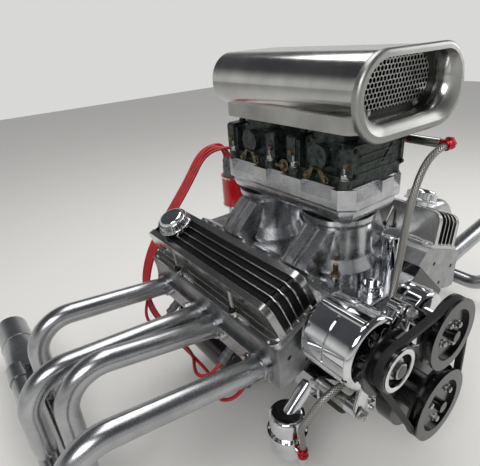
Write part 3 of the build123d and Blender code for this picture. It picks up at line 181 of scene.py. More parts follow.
# Finishes, each by its common name. grain and blotch are sizes in millimetres.
finishLooks = {
    # buffed sheet and castings, still a little wavy under the shine
    "polished aluminium": dict(dark="#a3a3a1", light="#c9c9c6", rough=(0.10, 0.20), grain=0.8,
                               blotch=60, depth=0.02, stretch=(1, 0.05, 1), bare="#e4e4e2"),
    # sand castings that were hand polished, so pits and dull spots stay
    "polished casting": dict(dark="#a6a7aa", light="#c3c4c6", rough=(0.15, 0.25), grain=1.2,
                             blotch=34, depth=0.05, bare="#e6e6e7", edge=1.2, wear=0.6, smear=0.10),
    "cast aluminium": dict(dark="#8b8c8e", light="#a9aaab", rough=(0.28, 0.42), grain=1.2,
                           blotch=25, depth=0.14, bare="#c4c3be", edge=1.0),
    # bright plate over polished metal, nearly a mirror
    "chrome plate": dict(dark="#c9cacc", light="#e2e3e5", rough=(0.03, 0.07), grain=2.0,
                         blotch=40, depth=0.005, smear=0.03, edge=0.8),
    # sprayed gloss paint with a clear, even film
    "black enamel": dict(dark="#040405", light="#08080a", rough=(0.14, 0.24), grain=2.0,
                         blotch=30, depth=0.02, metallic=0.0, coat=0.15, bare="#151517"),
    # dipped zinc body with a grey green film, oily in the corners
    "dark chromate": dict(dark="#1d2221", light="#4d5450", rough=(0.28, 0.46), grain=1.5,
                          blotch=9, depth=0.10, metallic=0.8, bare="#7b827c", wear=0.6),
    # drawn tube, ground along its length and buffed
    "polished steel": dict(dark="#a0a1a3", light="#b6b7b9", rough=(0.20, 0.30), grain=0.9,
                           blotch=70, depth=0.03, edge=0.8, smear=0.04),
    "bright zinc": dict(dark="#9a9b99", light="#c6c7c3", rough=(0.20, 0.34), grain=1.0,
                        blotch=6, depth=0.03, bare="#dededb", edge=0.3),
    # gold film on small plated levers
    "yellow zinc": dict(dark="#4a4134", light="#85775c", rough=(0.26, 0.44), grain=1.0,
                        blotch=7, depth=0.04, bare="#b3a88c", edge=0.3),
    "black oxide": dict(dark="#121212", light="#242423", rough=(0.30, 0.45), grain=0.8,
                        blotch=6, depth=0.04, metallic=0.7, bare="#6a6a68", edge=0.3),
    "yellow brass": dict(dark="#4d4436", light="#857558", rough=(0.22, 0.40), grain=1.0,
                         blotch=8, depth=0.03, edge=0.3),
    # clear red film over machined metal
    "red anodised": dict(dark="#8e0b14", light="#b9121c", rough=(0.20, 0.32), grain=0.8,
                         blotch=8, depth=0.02, metallic=0.85, bare="#d8505a", edge=0.4),
    "red enamel": dict(dark="#9a0509", light="#bb0a10", rough=(0.14, 0.24), grain=2.0,
                       blotch=30, depth=0.01, metallic=0.0, coat=0.5),
    "red silicone": dict(dark="#86060f", light="#b00d19", rough=(0.30, 0.42), grain=1.0,
                         blotch=14, depth=0.02, metallic=0.0),
    "black rubber": dict(dark="#0c0c0c", light="#191919", rough=(0.50, 0.72), grain=0.8,
                         blotch=20, depth=0.05, metallic=0.0),
    "grey silicone": dict(dark="#3b3c3e", light="#606164", rough=(0.38, 0.55), grain=1.0,
                          blotch=10, depth=0.03, metallic=0.0),
    "machined steel": dict(dark="#898a8c", light="#949597", rough=(0.26, 0.36), grain=0.5,
                           blotch=60, depth=0.01),
}
finishes = {name: metalFinish(name, look) for name, look in finishLooks.items()}


def bankAcross(tree):
    # how far out along the cover's rail, and how far off it, for both banks alike
    place = addNode(tree, "ShaderNodeTexCoord").outputs["Object"]
    split = addNode(tree, "ShaderNodeSeparateXYZ", {0: place})
    x = sums(tree, "SUBTRACT", sums(tree, "ABSOLUTE", split.outputs[0]), railMiddle[0] * mm)
    z = sums(tree, "SUBTRACT", split.outputs[2], railMiddle[1] * mm)
    out = sums(tree, "ADD", sums(tree, "MULTIPLY", x, railOut[0]), sums(tree, "MULTIPLY", z, railOut[1]))
    off = sums(tree, "ADD", sums(tree, "MULTIPLY", x, -railOut[1]), sums(tree, "MULTIPLY", z, railOut[0]))
    return out, off


railMiddle = (215.5, 214.5)               # x and z of the middle of a cover's rail
railOut = (0.92702, -0.37505)
bankMiddle = {-1: 246.0, 1: 268.0}        # station of each cover's middle
sides = {-1: "right", 1: "left"}


def coverFinish():
    # polished casting with wrinkle black in the grooves, as it is sprayed and then sanded off
    look = dict(groove=34.8, foot=12.6, black="#050506", sheen="#141416", grain=1.5, duller=0.16,
                specular=0.5, fade=-0.3)
    material = metalFinish("polished cover", dict(finishLooks["polished casting"], rough=(0.10, 0.20),
                                                  dark="#a8a8a6", light="#c2c2bf", blotch=90,
                                                  depth=0.02, stretch=(1, 0.1, 1), edge=0.8))
    tree = material.node_tree
    surface = [n for n in tree.nodes if n.type == "BSDF_PRINCIPLED"][0]
    out, off = bankAcross(tree)
    groove = sums(tree, "LESS_THAN", sums(tree, "ABSOLUTE", out), look["groove"] * mm)
    high = sums(tree, "GREATER_THAN", off, look["foot"] * mm)
    painted = sums(tree, "MULTIPLY", groove, high)
    bare = surface.inputs["Base Color"].links[0].from_socket
    wrinkle = addNode(tree, "ShaderNodeTexNoise",
                      {"Vector": addNode(tree, "ShaderNodeTexCoord").outputs["Object"],
                       "Scale": 1 / (look["grain"] * mm), "Detail": 2.0})
    black = mixColour(tree, wrinkle.outputs[0], toLinear(look["black"]), toLinear(look["sheen"]))
    tree.links.new(mixColour(tree, painted, bare, black), surface.inputs["Base Color"])
    tree.links.new(sums(tree, "SUBTRACT", 1.0, painted), surface.inputs["Metallic"])
    rough = surface.inputs["Roughness"].links[0].from_socket
    tree.links.new(sums(tree, "MULTIPLY_ADD", painted, look["duller"], rough), surface.inputs["Roughness"])
    tree.links.new(sums(tree, "MULTIPLY_ADD", painted, look["fade"], look["specular"]),
                   surface.inputs["Specular IOR Level"])
    return material


def scoopFinish():
    # spun and buffed sheet, with its rolled lip and inside left satin
    look = dict(lipStart=-0.5135, satin=0.22, tone="#8f8f8d", share=0.6)
    material = metalFinish("buffed scoop", dict(finishLooks["polished aluminium"], blotch=90))
    tree = material.node_tree
    surface = [n for n in tree.nodes if n.type == "BSDF_PRINCIPLED"][0]
    place = addNode(tree, "ShaderNodeTexCoord").outputs["Object"]
    split = addNode(tree, "ShaderNodeSeparateXYZ", {0: place})
    lip = sums(tree, "LESS_THAN", split.outputs[1], look["lipStart"])
    rough = surface.inputs["Roughness"].links[0].from_socket
    tree.links.new(sums(tree, "MULTIPLY_ADD", lip, look["satin"], rough), surface.inputs["Roughness"])
    bare = surface.inputs["Base Color"].links[0].from_socket
    tone = sums(tree, "MULTIPLY", lip, look["share"])
    tree.links.new(mixColour(tree, tone, bare, toLinear(look["tone"])), surface.inputs["Base Color"])
    return material


def braidFinish():
    # steel braid: two crossing sets of strands over a dark hose, on the tube's own UV. The colour darkens
    # from each strand's crown down into the gaps: the hose below, with painted shade in the grooves
    look = dict(strands=8, lay=13.0, dark="#161615", light="#b0afaa", gap=-0.4, strand=0.9,
                rough=(0.6, 0.28), depth=0.6, strength=0.6)
    material, tree, surface = startMaterial("steel braid", Metallic=0.9)
    place = addNode(tree, "ShaderNodeUVMap", uv_map="UVMap").outputs[0]
    split = addNode(tree, "ShaderNodeSeparateXYZ", {0: place})
    around = sums(tree, "MULTIPLY", split.outputs[0], 2 * pi * look["strands"])
    along = sums(tree, "MULTIPLY", split.outputs[1], 2 * pi / (look["lay"] * mm) * 2)
    waves = [sums(tree, "SINE", sums(tree, kind, around, along)) for kind in ("ADD", "SUBTRACT")]
    weave = sums(tree, "MAXIMUM", *waves)
    # the dark on the strands' sides and in the gaps between them is painted shade over the dark hose below
    level = addNode(tree, "ShaderNodeMapRange",
                    {"Value": weave, "From Min": look["gap"], "From Max": look["strand"]})
    tree.links.new(mixColour(tree, level.outputs[0], toLinear(look["dark"]), toLinear(look["light"])),
                   surface.inputs["Base Color"])
    gloss = addNode(tree, "ShaderNodeMapRange",
                    {"Value": weave, "From Min": -1.0, "From Max": 1.0,
                     "To Min": look["rough"][0], "To Max": look["rough"][1]})
    tree.links.new(gloss.outputs[0], surface.inputs["Roughness"])
    bump = addNode(tree, "ShaderNodeBump",
                   {"Height": weave, "Distance": look["depth"] * mm, "Strength": look["strength"]})
    tree.links.new(bump.outputs[0], surface.inputs["Normal"])
    return material


finishes["polished cover"] = coverFinish()
finishes["buffed scoop"] = scoopFinish()
finishes["steel braid"] = braidFinish()
print("finishes:", len(finishes))

nodeFinish = {
    "black enamel": ["block", "oil_pan", "starter", "oil_filter", "alternator_pulley",
                     "water_pump_pulley", "crank_damper", "engine_mount_right", "engine_mount_left"],
    "polished cover": ["valve_cover_right", "valve_cover_left"],
    "cast aluminium": ["head_right", "head_left"],
    "polished casting": ["intake_base", "plenum"],
    "polished aluminium": ["fuel_log"],
    "buffed scoop": ["scoop"],
    "chrome plate": ["breather_right", "breather_left", "alternator", "alternator_arm", "timing_cover",
                     "thermostat_housing", "fuel_pump", "water_pump", "oil_filler"],
    "dark chromate": ["carb_rear", "carb_front"],
    "polished steel": ["header_flange_right", "header_flange_left", "primaries_right",
                       "primaries_left", "collector_right", "collector_left"],
    "machined steel": ["crankshaft", "flexplate", "scoop_screen"],
    "bright zinc": ["alternator_bracket", "throttle_linkage"],
    "red enamel": ["magneto"],
    "grey silicone": ["spark_plugs_right", "spark_plugs_left", "magneto_cap"],
    "red anodised": ["fuel_fitting_upper", "fuel_fitting_lower"],
    "red silicone": [f"plug_lead_{bank}_{i}" for bank in sides.values() for i in range(1, 5)],
    "steel braid": ["fuel_line"],
    "black rubber": ["belt"],
    "yellow brass": ["temperature_sensor"],
}
for finish, names in nodeFinish.items():
    for name in names:
        nodes[name].data.materials.clear()
        nodes[name].data.materials.append(finishes[finish])


# Mesh helpers. Lengths in millimetres until a mesh is finished.

crease = radians(35)                      # edges steeper than this stay sharp


def bringIn(name, mesh, finish, body, replaced=()):
    # a mesh or a curve becomes a piece of the engine
    piece = bpy.data.objects.new(name, mesh)
    bpy.context.scene.collection.objects.link(piece)
    mesh.materials.clear()
    mesh.materials.append(finishes[finish])
    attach(piece, body)
    if replaced:
        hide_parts(*replaced)


def meshFrom(shape, name):
    bmesh.ops.recalc_face_normals(shape, faces=shape.faces)
    shape.transform(Matrix.Scale(mm, 4))
    mesh = bpy.data.meshes.new(name)
    shape.to_mesh(mesh)
    shape.free()
    for face in mesh.polygons:
        face.use_smooth = True
    mesh.set_sharp_from_angle(angle=crease)
    return mesh


def bringShape(name, shape, finish, body, replaced=()):
    bringIn(name, meshFrom(shape, name), finish, body, replaced)


def turned(shape, place, aim, profile, count=24, closed=False):
    # a profile of (radius, height) turned about an axis; a radius of 0 closes an end
    turn = Vector(aim).normalized().to_track_quat("Z", "Y").to_matrix()
    rings = []
    for radius, height in profile:
        if radius == 0:
            rings.append([shape.verts.new(Vector(place) + turn @ Vector((0, 0, height)))])
            continue
        rings.append([shape.verts.new(Vector(place) + turn @ Vector(
            (radius * cos(2 * pi * i / count), radius * sin(2 * pi * i / count), height)))
            for i in range(count)])
    pairs = list(zip(rings, rings[1:])) + ([(rings[-1], rings[0])] if closed else [])
    for a, b in pairs:
        for i in range(count):
            j = (i + 1) % count
            corners = [a[i % len(a)], a[j % len(a)], b[j % len(b)], b[i % len(b)]]
            corners = list(dict.fromkeys(corners))
            if len(corners) > 2:
                shape.faces.new(corners)


def slab(shape, corners, depth):
    # a flat plate from its corners, thickened along a vector
    low = [shape.verts.new(c) for c in corners]
    high = [shape.verts.new(Vector(c) + Vector(depth)) for c in corners]
    shape.faces.new(low)
    shape.faces.new(high[::-1])
    for i in range(len(low)):
        j = (i + 1) % len(low)
        shape.faces.new((low[i], low[j], high[j], high[i]))


def beadRing(shape, place, aim, radius, thick, count=40):
    ring = [(radius + thick * cos(2 * pi * k / 8), thick * sin(2 * pi * k / 8)) for k in range(8)]
    turned(shape, place, aim, ring, count, closed=True)


# Cords: red plug leads and the braided fuel line, along the same routes as the solids

# sway: how far a lead strays behind the cover. boot: x and z of its last two places, and ahead is
# how far they lie before the place that comes first.
leadLook = dict(radius=4.0, resolution=4, sway=2, ahead=24.0, boot=((321.0, 44.0), (298.6, 60.8)))
# the way behind a cover, for the leads in order from the front of the row
leadWay = [(134, 352), (184, 298), (236, 240), (280, 180), (302, 118)]
leadStarts = [
    [(11.5, -39.7, 385.3), (11.5, -39.7, 413.3), (34.7, -33.7, 431.3), (86.0, 3.0, 417.0)],
    [(27.7, -23.5, 385.3), (27.7, -23.5, 413.3), (48.0, -10.6, 431.3), (86.0, 13.5, 417.0)],
    [(27.7, -0.5, 385.3), (27.7, -0.5, 413.3), (49.8, 8.8, 431.3), (86.0, 24.0, 417.0)],
    [(11.5, 15.7, 385.3), (11.5, 15.7, 413.3), (34.8, 21.6, 431.3), (86.0, 34.5, 417.0)],
]
leadEnds = {
    (-1, 0): [(315.0, -4.0, 75.6), (339.2, -27.5, 45.6), (340.2, -62.0, 29.6)],
    (-1, 1): [(306.0, 13.5, 89.5), (307.0, 0.5, 51.5), (306.0, -28.5, 31.5), (308.0, -63.0, 29.5),
              (336.2, -115.0, 28.6), (340.2, -147.0, 29.6)],
    (-1, 2): [(306.0, 24.0, 79.0), (307.0, 11.0, 41.0), (306.0, -18.0, 21.0), (308.0, -115.5, 19.0),
              (306.0, -213.0, 17.0), (336.2, -265.0, 23.9), (340.2, -297.0, 29.6)],
    (-1, 3): [(306.0, 34.5, 68.5), (307.0, 21.5, 30.5), (306.0, -7.5, 10.5), (308.0, -104.3, 8.5),
              (306.0, -201.1, 6.5), (308.0, -298.0, 8.5), (336.2, -350.0, 19.2),
              (340.2, -382.0, 29.6)],
    (1, 0): [(315.0, -4.0, 75.6), (339.2, -38.5, 45.6), (340.2, -84.0, 29.6)],
    (1, 1): [(306.0, 13.5, 89.5), (307.0, 0.5, 51.5), (306.0, -28.5, 31.5), (308.0, -85.0, 29.5),
             (336.2, -137.0, 28.6), (340.2, -169.0, 29.6)],
    (1, 2): [(306.0, 24.0, 79.0), (307.0, 11.0, 41.0), (306.0, -18.0, 21.0), (308.0, -90.3, 19.0),
             (306.0, -162.6, 17.0), (308.0, -235.0, 19.0), (336.2, -287.0, 23.9),
             (340.2, -319.0, 29.6)],
    (1, 3): [(306.0, 34.5, 68.5), (307.0, 21.5, 30.5), (306.0, -7.5, 10.5), (308.0, -85.6, 8.5),
             (306.0, -163.7, 6.5), (308.0, -241.8, 8.5), (306.0, -320.0, 6.5), (336.2, -372.0, 19.2),
             (340.2, -404.0, 29.6)],
}
lineWay = [(86.0, -541.0, 488.0), (60.0, -541.0, 485.0), (32.0, -541.0, 472.0), (8.0, -542.0, 444.0),
           (-6.0, -542.0, 400.0), (-14.0, -541.0, 350.0), (-20.0, -542.0, 302.0),
           (-34.0, -545.0, 258.0), (-56.0, -554.0, 218.0), (-84.0, -569.0, 182.0),
           (-104.0, -566.0, 141.0), (-143.0, -566.0, 116.0), (-182.0, -563.0, 114.0),
           (-213.0, -559.0, 112.0), (-241.0, -552.0, 95.0), (-258.0, -543.0, 64.0),
           (-261.0, -529.0, 30.0), (-254.0, -517.0, -2.0), (-242.0, -511.0, -34.0),
           (-242.0, -511.0, -68.0)]


def routeCurve(name, route, radius=0.0):
    curve = bpy.data.curves.new(name, "CURVE")
    curve.dimensions = "3D"
    curve.resolution_u = 8
    spline = curve.splines.new("NURBS")
    spline.points.add(len(route) - 1)
    for point, place in zip(spline.points, route):
        point.co = (*[c * mm for c in place], 1.0)
    spline.order_u = 3
    spline.use_endpoint_u = True
    curve.bevel_depth = radius * mm
    curve.bevel_resolution = leadLook["resolution"]
    curve.use_fill_caps = radius > 0
    return curve


def makeLeads():
    for side, bank in sides.items():
        for i, start in enumerate(leadStarts):
            y = start[-1][1]
            sways = (leadLook["sway"], 0)
            way = [(x, y + sways[k % 2], z) for k, (x, z) in enumerate(leadWay)]
            last = leadEnds[side, i][-1]
            end = [(x, last[1] - leadLook["ahead"], z) for x, z in leadLook["boot"]]
            route = [(side * x, y, z) for x, y, z in start + way + leadEnds[side, i] + end]
            curve = routeCurve(f"lead_{bank}_{i + 1}", route, leadLook["radius"])
            bringIn(f"lead_{bank}_{i + 1}", curve, "red silicone", "engine",
                    [f"plug_lead_{bank}_{i + 1}"])


def tubeAlong(name, points, radius, around=20):
    # a tube along points in metres, with u round it and v along it in metres
    shape = bmesh.new()
    layer = shape.loops.layers.uv.new("UVMap")
    ahead = [(b - a).normalized() for a, b in zip(points, points[1:])]
    ahead = [ahead[0]] + [(a + b).normalized() for a, b in zip(ahead, ahead[1:])] + [ahead[-1]]
    out = ahead[0].orthogonal().normalized()
    rings, run = [], [0.0]
    for k, (point, way) in enumerate(zip(points, ahead)):
        out = (out - way * out.dot(way)).normalized()
        side = way.cross(out)
        rings.append([shape.verts.new(point + (out * cos(2 * pi * i / around)
                                               + side * sin(2 * pi * i / around)) * radius)
                      for i in range(around)])
        if k:
            run.append(run[-1] + (point - points[k - 1]).length)
    for k in range(len(rings) - 1):
        for i in range(around):
            j = (i + 1) % around
            face = shape.faces.new((rings[k][i], rings[k][j], rings[k + 1][j], rings[k + 1][i]))
            face.smooth = True
            marks = ((i, k), (i + 1, k), (i + 1, k + 1), (i, k + 1))
            for loop, (u, v) in zip(face.loops, marks):
                loop[layer].uv = (u / around, run[v])
    shape.faces.new(rings[0][::-1])
    shape.faces.new(rings[-1])
    mesh = bpy.data.meshes.new(name)
    shape.to_mesh(mesh)
    shape.free()
    return mesh


def makeFuelLine():
    look = dict(radius=6.5)
    holder = bpy.data.objects.new("fuel route", routeCurve("fuel route", lineWay))
    bpy.context.scene.collection.objects.link(holder)
    bpy.context.view_layer.update()
    seen = holder.evaluated_get(bpy.context.evaluated_depsgraph_get())
    thread = bpy.data.meshes.new_from_object(seen)
    points = [v.co.copy() for v in thread.vertices]
    bpy.data.objects.remove(holder)
    mesh = tubeAlong("fuel_hose", points, look["radius"] * mm)
    bringIn("fuel_hose", mesh, "steel braid", "engine", ["fuel_line"])


def makeHoseEnds():
    # a socket over the hose, a swivel nut with six sides, and the stem behind it
    look = dict(hose=10.2, nut=12.0, neck=7.5, stem=(96, -541, 488))
    r, n, s = look["hose"], look["nut"], look["neck"]
    for name, a, b in (("upper", lineWay[0], lineWay[1]), ("lower", lineWay[-1], lineWay[-2])):
        shape = bmesh.new()
        aim = Vector(a) - Vector(b)
        turned(shape, a, aim, [(0, -3), (r - 2, -3), (r, -1), (r, 6), (r - 1.2, 7), (r - 1.2, 8),
                               (r, 9), (0, 9)], 24)
        turned(shape, a, aim, [(0, 8), (n - 1.5, 8), (n, 9.5), (n, 16.5), (n - 1.5, 18), (0, 18)], 6)
        if name == "upper":
            stem = [(0, -10.5), (6, -10.5), (s, -8), (s, 15.6), (0, 15.6)]
            turned(shape, look["stem"], (0, 1, 0), stem)
        bringShape(f"hose_end_{name}", shape, "red anodised", "engine",
                   [f"fuel_fitting_{name}"])


makeLeads()
makeFuelLine()
makeHoseEnds()
print("leads and fuel line laid")


# Geometry Nodes: helpers for the two trees that repeat a form at many places

def startTree(name, sizes):
    tree = bpy.data.node_groups.new(name, "GeometryNodeTree")
    face = tree.interface
    face.new_socket("Geometry", in_out="INPUT", socket_type="NodeSocketGeometry")
    for size in sizes:
        face.new_socket(size, in_out="INPUT", socket_type="NodeSocketFloat")
    face.new_socket("finish", in_out="INPUT", socket_type="NodeSocketMaterial")
    face.new_socket("Geometry", in_out="OUTPUT", socket_type="NodeSocketGeometry")
    return tree, addNode(tree, "NodeGroupInput").outputs


def endTree(tree, form, finish):
    real = addNode(tree, "GeometryNodeRealizeInstances", {0: form})
    done = addNode(tree, "GeometryNodeSetMaterial", {"Geometry": real.outputs[0], "Material": finish})
    out = addNode(tree, "NodeGroupOutput")
    tree.links.new(done.outputs[0], out.inputs[0])


def growMesh(name, tree, places, sizes, finish, aims=()):
    # runs a tree on a cloud of points, and gives back a plain mesh
    mesh = bpy.data.meshes.new(name)
    mesh.from_pydata([[c * mm for c in place] for place in places], [], [])
    if aims:
        field = mesh.attributes.new("aim", "FLOAT_VECTOR", "POINT")
        for entry, aim in zip(field.data, aims):
            entry.vector = Vector(aim).normalized()
    seed = bpy.data.objects.new(name + " seed", mesh)
    bpy.context.scene.collection.objects.link(seed)
    grown = seed.modifiers.new(name, "NODES")
    grown.node_group = tree
    sockets = [s for s in tree.interface.items_tree if s.in_out == "INPUT"]
    for socket, value in zip(sockets[1:], [size * mm for size in sizes] + [finishes[finish]]):
        grown[socket.identifier] = value
    bpy.context.view_layer.update()
    seen = seed.evaluated_get(bpy.context.evaluated_depsgraph_get())
    result = bpy.data.meshes.new_from_object(seen)
    bpy.data.objects.remove(seed)
    if "aim" in result.attributes:
        result.attributes.remove(result.attributes["aim"])
    result.set_sharp_from_angle(angle=crease)
    return result


# Bolts: a washer, a six sided head with a cut crown, and a stud

def boltTree():
    # brow, cap and crown: the chamfer's lower and upper radius and its height, as shares of the head
    look = dict(sides=6, crownSides=12, washerSides=16, studSides=10, brow=0.93, cap=0.80, crown=0.18,
                seed=5, turn=1.047)                # turn: a sixth of a whole one, in radians
    tree, size = startTree("bolt field", ("head radius", "head height", "washer radius", "washer height",
                                          "stud radius", "stud height"))

    def standing(kind, settings, foot):
        form = addNode(tree, kind, settings)
        lift = addNode(tree, "ShaderNodeCombineXYZ", {"Z": foot})
        moved = addNode(tree, "GeometryNodeTransform",
                        {"Geometry": form.outputs["Mesh"], "Translation": lift.outputs[0]})
        return moved.outputs[0]

    def bar(sides, part, foot):
        # a round or sided bar that stands on a height
        middle = sums(tree, "MULTIPLY_ADD", size[part + " height"], 0.5, foot)
        return standing("GeometryNodeMeshCylinder", {"Vertices": sides, "Radius": size[part + " radius"],
                                                     "Depth": size[part + " height"]}, middle)

    top = sums(tree, "ADD", size["washer height"], size["head height"])
    crown = {"Vertices": look["crownSides"],
             "Radius Bottom": sums(tree, "MULTIPLY", size["head radius"], look["brow"]),
             "Radius Top": sums(tree, "MULTIPLY", size["head radius"], look["cap"]),
             "Depth": sums(tree, "MULTIPLY", size["head height"], look["crown"])}
    joined = addNode(tree, "GeometryNodeJoinGeometry")
    for form in (bar(look["sides"], "head", size["washer height"]),
                 standing("GeometryNodeMeshCone", crown, top),
                 bar(look["washerSides"], "washer", 0.0),
                 bar(look["studSides"], "stud", top)):
        tree.links.new(form, joined.inputs[0])
    aim = addNode(tree, "GeometryNodeInputNamedAttribute", {"Name": "aim"}, data_type="FLOAT_VECTOR")
    turn = addNode(tree, "FunctionNodeAlignRotationToVector", {"Vector": aim.outputs[0]}, axis="Z")
    chance = addNode(tree, "FunctionNodeRandomValue", {"Seed": look["seed"]}, data_type="FLOAT")
    chance.inputs[3].default_value = look["turn"]
    spin = addNode(tree, "FunctionNodeAxisAngleToRotation", {"Axis": (0, 0, 1), "Angle": chance.outputs[1]})
    both = addNode(tree, "FunctionNodeRotateRotation", {0: turn.outputs[0], 1: spin.outputs[0]},
                   rotation_space="LOCAL")
    placed = addNode(tree, "GeometryNodeInstanceOnPoints",
                     {"Points": size["Geometry"], "Instance": joined.outputs[0],
                      "Rotation": both.outputs[0]})
    endTree(tree, placed.outputs[0], size["finish"])
    return tree


# Each kind of fastener: head, washer and stud as (radius, height), finish, body and slot
boltLooks = {
    "cover_nuts": ((6.0, 6.0), (7.4, 0.8), (2.6, 4.0), "black oxide", "engine", "cover_alloy"),
    "cover_edge_screws": ((3.4, 3.0), (4.6, 0.6), (1.2, 0.4), "bright zinc", "engine", "cover_alloy"),
    "intake_bolts": ((5.6, 6.0), (7.4, 1.2), (2.0, 0.3), "bright zinc", "engine", "intake_alloy"),
    "carb_nuts": ((8.0, 8.0), (10.5, 1.4), (4.2, 13.0), "bright zinc", "engine", "carb_body"),
    "header_bolts": ((6.5, 6.5), (9.0, 1.2), (2.5, 0.3), "bright zinc", "engine", "header_steel"),
    "pan_bolts": ((5.0, 5.0), (6.8, 1.0), (2.0, 0.3), "black oxide", "engine", "pan_paint"),
    "timing_bolts": ((5.2, 5.0), (6.8, 1.0), (2.0, 0.3), "bright zinc", "engine", "chrome"),
    "bowl_screws": ((4.2, 3.2), (5.2, 1.2), (1.4, 0.3), "black oxide", "engine", "carb_body"),
    "bowl_plugs": ((5.5, 3.0), (6.6, 1.2), (2.0, 0.4), "yellow brass", "engine", "carb_body"),
    "body_screws": ((3.6, 2.6), (4.6, 0.8), (1.4, 0.3), "black oxide", "engine", "carb_body"),
    "screen_screws": ((4.4, 2.6), (6.0, 0.8), (1.8, 0.4), "bright zinc", "engine", "screen_steel"),
    "pump_pulley_bolts": ((6, 5), (8, 1.2), (2.4, 2), "bright zinc", "water_pump_rotor", "pulley_black"),
    "damper_bolts": ((6.5, 6), (9, 1.2), (2.4, 0.4), "bright zinc", "crank", "pulley_black"),
    "alternator_nut": ((15, 9.2), (20, 2.5), (8, 0.3), "bright zinc", "alternator_rotor", "pulley_black"),
    "alternator_case_screws": ((4.4, 5), (6, 0.8), (1.6, 0.3), "black oxide", "engine", "chrome"),
    "alternator_lug_bolts": ((9.5, 8), (12, 1.8), (5, 3), "bright zinc", "engine", "chrome"),
    "fuel_pump_screws": ((3.6, 3.0), (4.4, 0.6), (1.4, 0.3), "bright zinc", "engine", "chrome"),
    "flexplate_bolts": ((6.0, 5.0), (7.6, 1.0), (2.0, 0.3), "black oxide", "crank", "crank_steel"),
}
boltNodes = boltTree()


def makeBolts(name, places):
    # places: (place, aim) pairs
    *sizes, finish, body, slotName = boltLooks[name]
    flat = [value for pair in sizes for value in pair]
    mesh = growMesh(name, boltNodes, [place for place, aim in places], flat, finish,
                    [aim for place, aim in places])
    bringIn(name, mesh, finish, body)


# Places shared by the fasteners and the trim
carbStations = (176, 382)
alternatorPlace = (-168, 198)             # x and z
pumpPlace = (0, 176)
pulleyFloor = -644.0                      # y of the dished face inside each pulley


def onBank(side, u, v, w):
    # a place on a cover: out along the rail, along the engine, and off the rail
    x = railMiddle[0] + railOut[0] * u - railOut[1] * w
    z = railMiddle[1] + railOut[1] * u + railOut[0] * w
    return (side * x, -bankMiddle[side] + v, z)


def onCover(across, along, lift):
    # the four corners of a rectangle on each cover, square to its rail
    return [(onBank(s, u, v, lift), (s * -railOut[1], 0, railOut[0])) for s in sides
            for u in (-across, across) for v in (-along, along)]


def ringOf(centre, y, radius, count, start=0.0):
    turns = [start + 2 * pi * i / count for i in range(count)]
    return [((centre[0] + radius * cos(a), y, centre[1] + radius * sin(a)), (0, -1, 0)) for a in turns]


def makeTopFasteners():
    look = dict(coverNut=(61.5, 108, 15.4), coverEdge=(64, 216, 8.3), foot=(124.5, 242.3),
                lean=(0.51, 0.86), feet=(22, 62, 98, 192, 232, 284, 322, 416), stud=(71.4, 65.9, 442.3))
    makeBolts("cover_nuts", onCover(*look["coverNut"]))
    makeBolts("cover_edge_screws", onCover(*look["coverEdge"]))
    x, z = look["foot"]
    makeBolts("intake_bolts", [((s * x, -y, z), (s * look["lean"][0], 0, look["lean"][1]))
                               for s in sides for y in look["feet"]])
    x, along, z = look["stud"]
    makeBolts("carb_nuts", [((s * x, -y + d, z), (0, 0, 1)) for s in sides for y in carbStations
                            for d in (-along, along)])


def makeLowFasteners():
    look = dict(port=(284.3, 124), flange=(-153, -75, 0, 75, 153), pan=(125, -6.3),
                panSteps=range(34, 500, 51),
                timing=((27, 166), (52, 140), (72, 100), (82, 58), (82, 20), (76, -20), (70, -48)),
                timingFace=-541.3)
    x, z = look["port"]
    makeBolts("header_bolts", [((s * x, -bankMiddle[s] + v, z), (s, 0, 0)) for s in sides
                               for v in look["flange"]])
    x, z = look["pan"]
    makeBolts("pan_bolts", [((s * x, -y, z), (0, 0, -1)) for s in sides for y in look["panSteps"]])
    makeBolts("timing_bolts", [((s * x, look["timingFace"], z), (0, -1, 0)) for s in sides
                               for x, z in look["timing"]])


def makeCarbFasteners():
    look = dict(bowl=(68, 84), bowlLevels=(451, 497), plug=(75, 72, 470), side=59,
                sideSteps=(-40, 0, 40), sideLevels=(452, 496), screen=(66, -483.2),
                screenLevels=(562, 646))
    bowls = [(y, end) for y in carbStations for end in (-1, 1)]
    x, reach = look["bowl"]
    makeBolts("bowl_screws", [((s * x, -y + end * reach, z), (0, end, 0)) for y, end in bowls
                              for s in sides for z in look["bowlLevels"]])
    x, reach, z = look["plug"]
    makeBolts("bowl_plugs", [((s * x, -y + end * reach, z), (s, 0, 0))
                             for y, end in bowls for s in sides])
    # the choke housing covers the middle screws on the right
    makeBolts("body_screws", [((s * look["side"], -y + d, z), (s, 0, 0))
                              for y in carbStations for s in sides for d in look["sideSteps"]
                              for z in look["sideLevels"] if (s, d) != (-1, 0)])
    x, y = look["screen"]
    makeBolts("screen_screws", [((s * x, y, z), (0, -1, 0)) for s in sides
                                for z in look["screenLevels"]])


